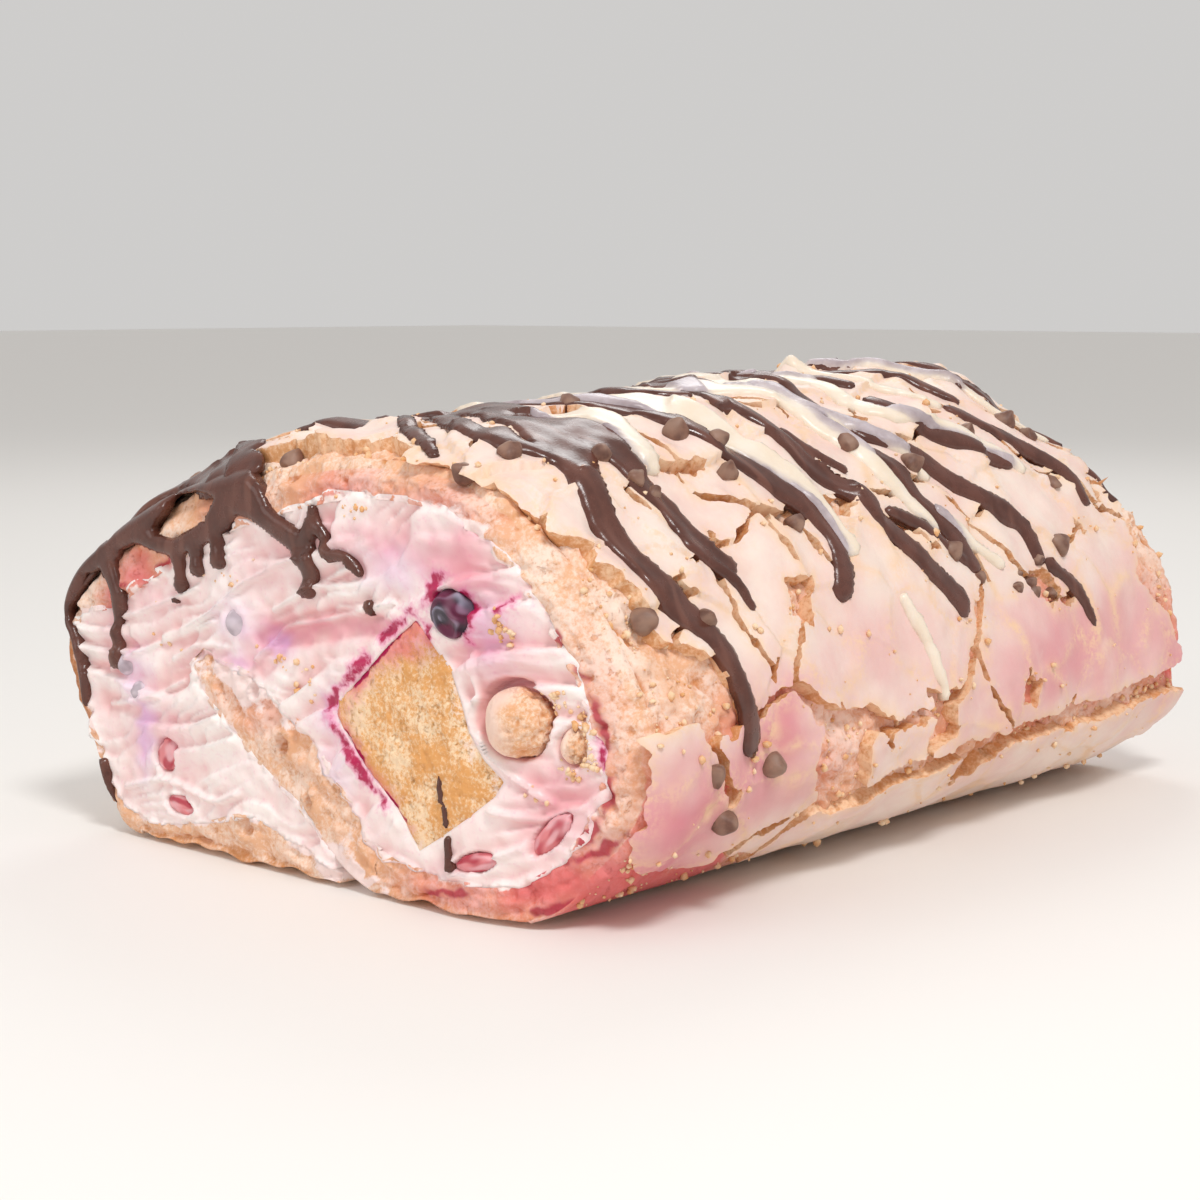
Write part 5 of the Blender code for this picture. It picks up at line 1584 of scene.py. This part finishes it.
def crumb_finish():
    material, tree, shader = new_finish("meringue_crumb", 0.85, 0.05, 0.001, 0.25)
    pores = pored(tree, 1.1, 0.8)
    base = two_tone(tree, pores["Mottle"], 0.4, 0.6, "E8B590", "F5DBCA")
    soft = mottled(tree, 24.0)
    toasted = times(tree, stretched(tree, soft["Patches"], 0.48, 0.66), 0.6)
    base = tinted(tree, toasted, base, "E3A67A")
    # Painted shade: the crumb darkened where it lies deep, in cracks, pits and holes.
    low = plus(tree, field(tree, "deep"), times(tree, pores["Mottle"], 2.0))
    base = tinted(tree, stretched(tree, low, 0.5, -0.9), base, "D08A50")
    # Painted shade: the crumb's pores darkened.
    base = tinted(tree, times(tree, pores["Pores"], 0.42), base, "CC7E44")
    # Pink from the tint field: painted pink bounce light on the bare crumb of the sides, and pink stains
    # on the end faces.
    base = tinted(tree, times(tree, field(tree, "tint"), 0.85), base, "DE6268")
    # Dark red where the jam field is: juice stain, and at the right seam painted crevice shade.
    soaked_and_seam_shade = stretched(tree, plus(tree, field(tree, "jam"), pores["Mottle"]), 0.8, 1.4)
    base = tinted(tree, times(tree, soaked_and_seam_shade, 0.85), base, "B02E44")
    smear = stretched(tree, plus(tree, field(tree, "smear"), pores["Mottle"]), 0.95, 1.2)
    base = tinted(tree, smear, base, "F8E1DC")
    finished(tree, shader, base, pores["Height"], 0.6, 0.45)
    return material


def cream_finish():
    material, tree, shader = new_finish("whipped_cream", 0.34, 0.12, 0.0015, 0.5, (1.0, 0.7, 0.6))
    soft = mottled(tree, 14.0)
    base = two_tone(tree, soft["Patches"], 0.35, 0.7, "FDF3EE", "FAE5E2")
    # Painted shade: the cream turns a deeper pink where its relief is low, in the knife's grooves and
    # dents.
    base = tinted(tree, stretched(tree, field(tree, "height"), 0.4, -2.0), base, "EDB9B6")
    base = tinted(tree, times(tree, field(tree, "pink"), 0.8), base, "E694A2")
    base = tinted(tree, times(tree, field(tree, "lilac"), 0.6), base, "DDA8E2")
    halo = stretched(tree, plus(tree, field(tree, "jam"), soft["Grain"]), 0.5, 1.2)
    base = tinted(tree, times(tree, halo, 0.6), base, "E86AA8")
    jam = stretched(tree, plus(tree, field(tree, "jam"), soft["Grain"]), 1.0, 1.45)
    base = tinted(tree, jam, base, "B3154F")
    finished(tree, shader, base, soft["Grain"], 0.2, 0.3)
    return material


def sponge_finish():
    material, tree, shader = new_finish("golden_sponge", 0.85, 0.06, 0.001, 0.25)
    pores = pored(tree, 0.85, 0.7)
    base = two_tone(tree, pores["Mottle"], 0.42, 0.6, "E5A666", "FBDEBA")
    # Painted shade: the sponge's pores darkened.
    base = tinted(tree, times(tree, pores["Pores"], 0.4), base, "D4975A")
    smear = stretched(tree, plus(tree, times(tree, pores["Mottle"], 3.0), field(tree, "pink")), 1.9, 2.5)
    base = tinted(tree, times(tree, smear, 0.75), base, "F8E0D6")
    rosy = plus(tree, times(tree, pores["Mottle"], 2.0), field(tree, "rosy"))
    base = tinted(tree, times(tree, stretched(tree, rosy, 1.2, 2.1), 0.75), base, "E2707E")
    jam = stretched(tree, plus(tree, field(tree, "jam"), pores["Mottle"]), 1.0, 1.35)
    base = tinted(tree, jam, base, "A81048")
    finished(tree, shader, base, pores["Height"], 0.8, 0.5)
    return material


def dark_finish():
    material, tree, shader = new_finish("dark_chocolate", 0.3, 0.0, 0.001, 0.5)
    soft = mottled(tree, 7.0)
    base = two_tone(tree, soft["Patches"], 0.3, 0.7, "4F2C23", "62392E")
    base = tinted(tree, stretched(tree, field(tree, "flow"), 0.1, 0.6), base, "6C4337")
    tree.links.new(stretched(tree, soft["Patches"], -0.2, 2.0), shader.inputs["Roughness"])
    finished(tree, shader, base, plus(tree, field(tree, "flow"), soft["Grain"]), 0.12, 0.4)
    return material


def white_finish():
    material, tree, shader = new_finish("white_chocolate", 0.32, 0.12, 0.0015, 0.5, (1.0, 0.8, 0.5))
    soft = mottled(tree, 9.0)
    base = two_tone(tree, soft["Patches"], 0.3, 0.7, "F1E3D2", "EAD8C2")
    veiled = two_tone(tree, soft["Patches"], 0.3, 0.7, "C6BAC0", "98888F")
    base = blended(tree, times(tree, field(tree, "over_dark"), 0.92), base, veiled)
    finished(tree, shader, base, plus(tree, field(tree, "flow"), soft["Grain"]), 0.1, 0.4)
    return material


def chip_finish():
    material, tree, shader = new_finish("chocolate_chip", 0.5, 0.0, 0.001, 0.4)
    soft = mottled(tree, 3.0)
    base = two_tone(tree, soft["Patches"], 0.3, 0.7, "644338", "86604F")
    base = tinted(tree, times(tree, field(tree, "dust"), 0.6), base, "A0816F")
    finished(tree, shader, base, soft["Grain"], 0.2, 0.25)
    return material


def meringue_piece_finish():
    material, tree, shader = new_finish("meringue_piece", 0.7, 0.06, 0.001, 0.3)
    pores = pored(tree, 0.9, 0.8)
    crumb = two_tone(tree, pores["Mottle"], 0.4, 0.6, "E4AA7C", "F5D8C0")
    # Painted shade: the broken crumb darkened where it lies low, in its pits.
    crumb = tinted(tree, stretched(tree, field(tree, "height"), -0.9, -1.7), crumb, "CE8A54")
    base = tinted(tree, field(tree, "crusty"), crumb, "F3D3C2")
    finished(tree, shader, base, pores["Height"], 0.6, 0.45)
    return material


def berry_finish(name, veil):
    """A dark berry; veil is how much of the cream's film hides it."""
    material, tree, shader = new_finish(name, 0.5, 0.0, 0.001, 0.35)
    soft = mottled(tree, 2.4)
    # Painted highlight: the skin turns pale grey-lilac on its raised folds.
    skin = two_tone(tree, field(tree, "height"), 0.1, 0.7, "2A2330", "928CA2")
    juice = times(tree, field(tree, "juice"), 0.4 * (1.0 - veil))
    skin = tinted(tree, juice, skin, "8E1550")
    film = math_node(tree, "ADD", times(tree, field(tree, "veil"), 0.3), veil, True)
    film = times(tree, film, 0.3 + 0.7 * (veil > 0.0))
    base = blended(tree, film, skin, blended(tree, soft["Patches"], colour("EBDCE2"), colour("CDBFCB")))
    finished(tree, shader, base, soft["Grain"], 0.2, 0.2)
    return material


def strawberry_finish():
    material, tree, shader = new_finish("strawberry", 0.36, 0.2, 0.0015, 0.5, (1.0, 0.3, 0.25))
    soft = mottled(tree, 3.0)
    flesh = tinted(tree, field(tree, "juice"), colour("E08488"), "B93C4C")
    base = tinted(tree, times(tree, field(tree, "veil"), 0.7), flesh, "F0BFC4")
    finished(tree, shader, base, soft["Grain"], 0.3, 0.25)
    return material


def loose_crumb_finish():
    material, tree, shader = new_finish("loose_crumb", 0.85, 0.05, 0.001, 0.25)
    soft = mottled(tree, 4.0)
    base = two_tone(tree, soft["Patches"], 0.35, 0.65, "F5D9B8", "E2AA74")
    finished(tree, shader, base, soft["Grain"], 0.4, 0.2)
    return material


# The floor, the lights and the camera.

CAMERA_PLACE = (-0.46374, -0.39261, 0.135)
CAMERA_VIEW = (0.74124, 0.65810, -0.13219)
CAMERA_LENS = 67.7
# Round lamps that all face the roll: name, place, width and power.
LAMPS = [("key", (-0.45, -0.75, 1.15), 0.35, 9.6), ("fill", (-1.1, 0.35, 0.6), 0.9, 2.4),
         ("back", (0.8, 0.6, 0.9), 0.6, 2.4)]
LAMP_AIM = (0.0, 0.0, 0.05)
SKY_COLOUR = (1.0, 0.985, 0.97, 1.0)
SKY_STRENGTH = 0.62
FLOOR_WIDTH = 16.0
FLOOR_LEVEL = -0.0006


def studio():
    bpy.ops.mesh.primitive_plane_add(size=FLOOR_WIDTH, location=(0.0, 0.0, FLOOR_LEVEL))
    floor = bpy.context.object
    floor.name = "floor"
    pale = bpy.data.materials.new("pale_floor")
    pale.use_nodes = True
    shader = pale.node_tree.nodes["Principled BSDF"]
    shader.inputs["Base Color"].default_value = colour("EFECE8")
    shader.inputs["Roughness"].default_value = 0.6
    floor.data.materials.append(pale)

    world = bpy.data.worlds.new("soft_sky")
    world.use_nodes = True
    sky = world.node_tree.nodes["Background"]
    sky.inputs["Color"].default_value = SKY_COLOUR
    sky.inputs["Strength"].default_value = SKY_STRENGTH
    bpy.context.scene.world = world
    bpy.context.scene.view_settings.view_transform = "Standard"

    for name, place, width, power in LAMPS:
        light = bpy.data.lights.new(name, "AREA")
        light.shape = "DISK"
        light.size = width
        light.energy = power
        lamp = bpy.data.objects.new(name, light)
        lamp.location = place
        heading = Vector(LAMP_AIM) - Vector(place)
        lamp.rotation_euler = heading.to_track_quat("-Z", "Y").to_euler()
        bpy.context.scene.collection.objects.link(lamp)

    camera = bpy.data.objects.new("camera", bpy.data.cameras.new("camera"))
    camera.data.lens = CAMERA_LENS
    camera.data.sensor_width = 36.0
    camera.data.clip_start = 0.01
    camera.location = CAMERA_PLACE
    camera.rotation_euler = Vector(CAMERA_VIEW).to_track_quat("-Z", "Y").to_euler()
    bpy.context.scene.collection.objects.link(camera)
    bpy.context.scene.camera = camera


def main():
    crumb_pores_group()
    mottle_group()
    finishes = {"meringue_piece": meringue_piece_finish(),
                "blueberry": berry_finish("blueberry", 0.0),
                "veiled_berry": berry_finish("veiled_berry", 0.6),
                "strawberry": strawberry_finish()}
    sheet_pieces(crust_finish(), crumb_finish())
    cream_piece(cream_finish())
    sponge_piece(sponge_finish())
    dark = dark_finish()
    dark_drizzle(dark)
    face_drizzle(dark)
    white_drizzle(white_finish())
    chips_piece(chip_finish())
    add_set_pieces(finishes)
    loose_crumbs(loose_crumb_finish())
    studio()


main()
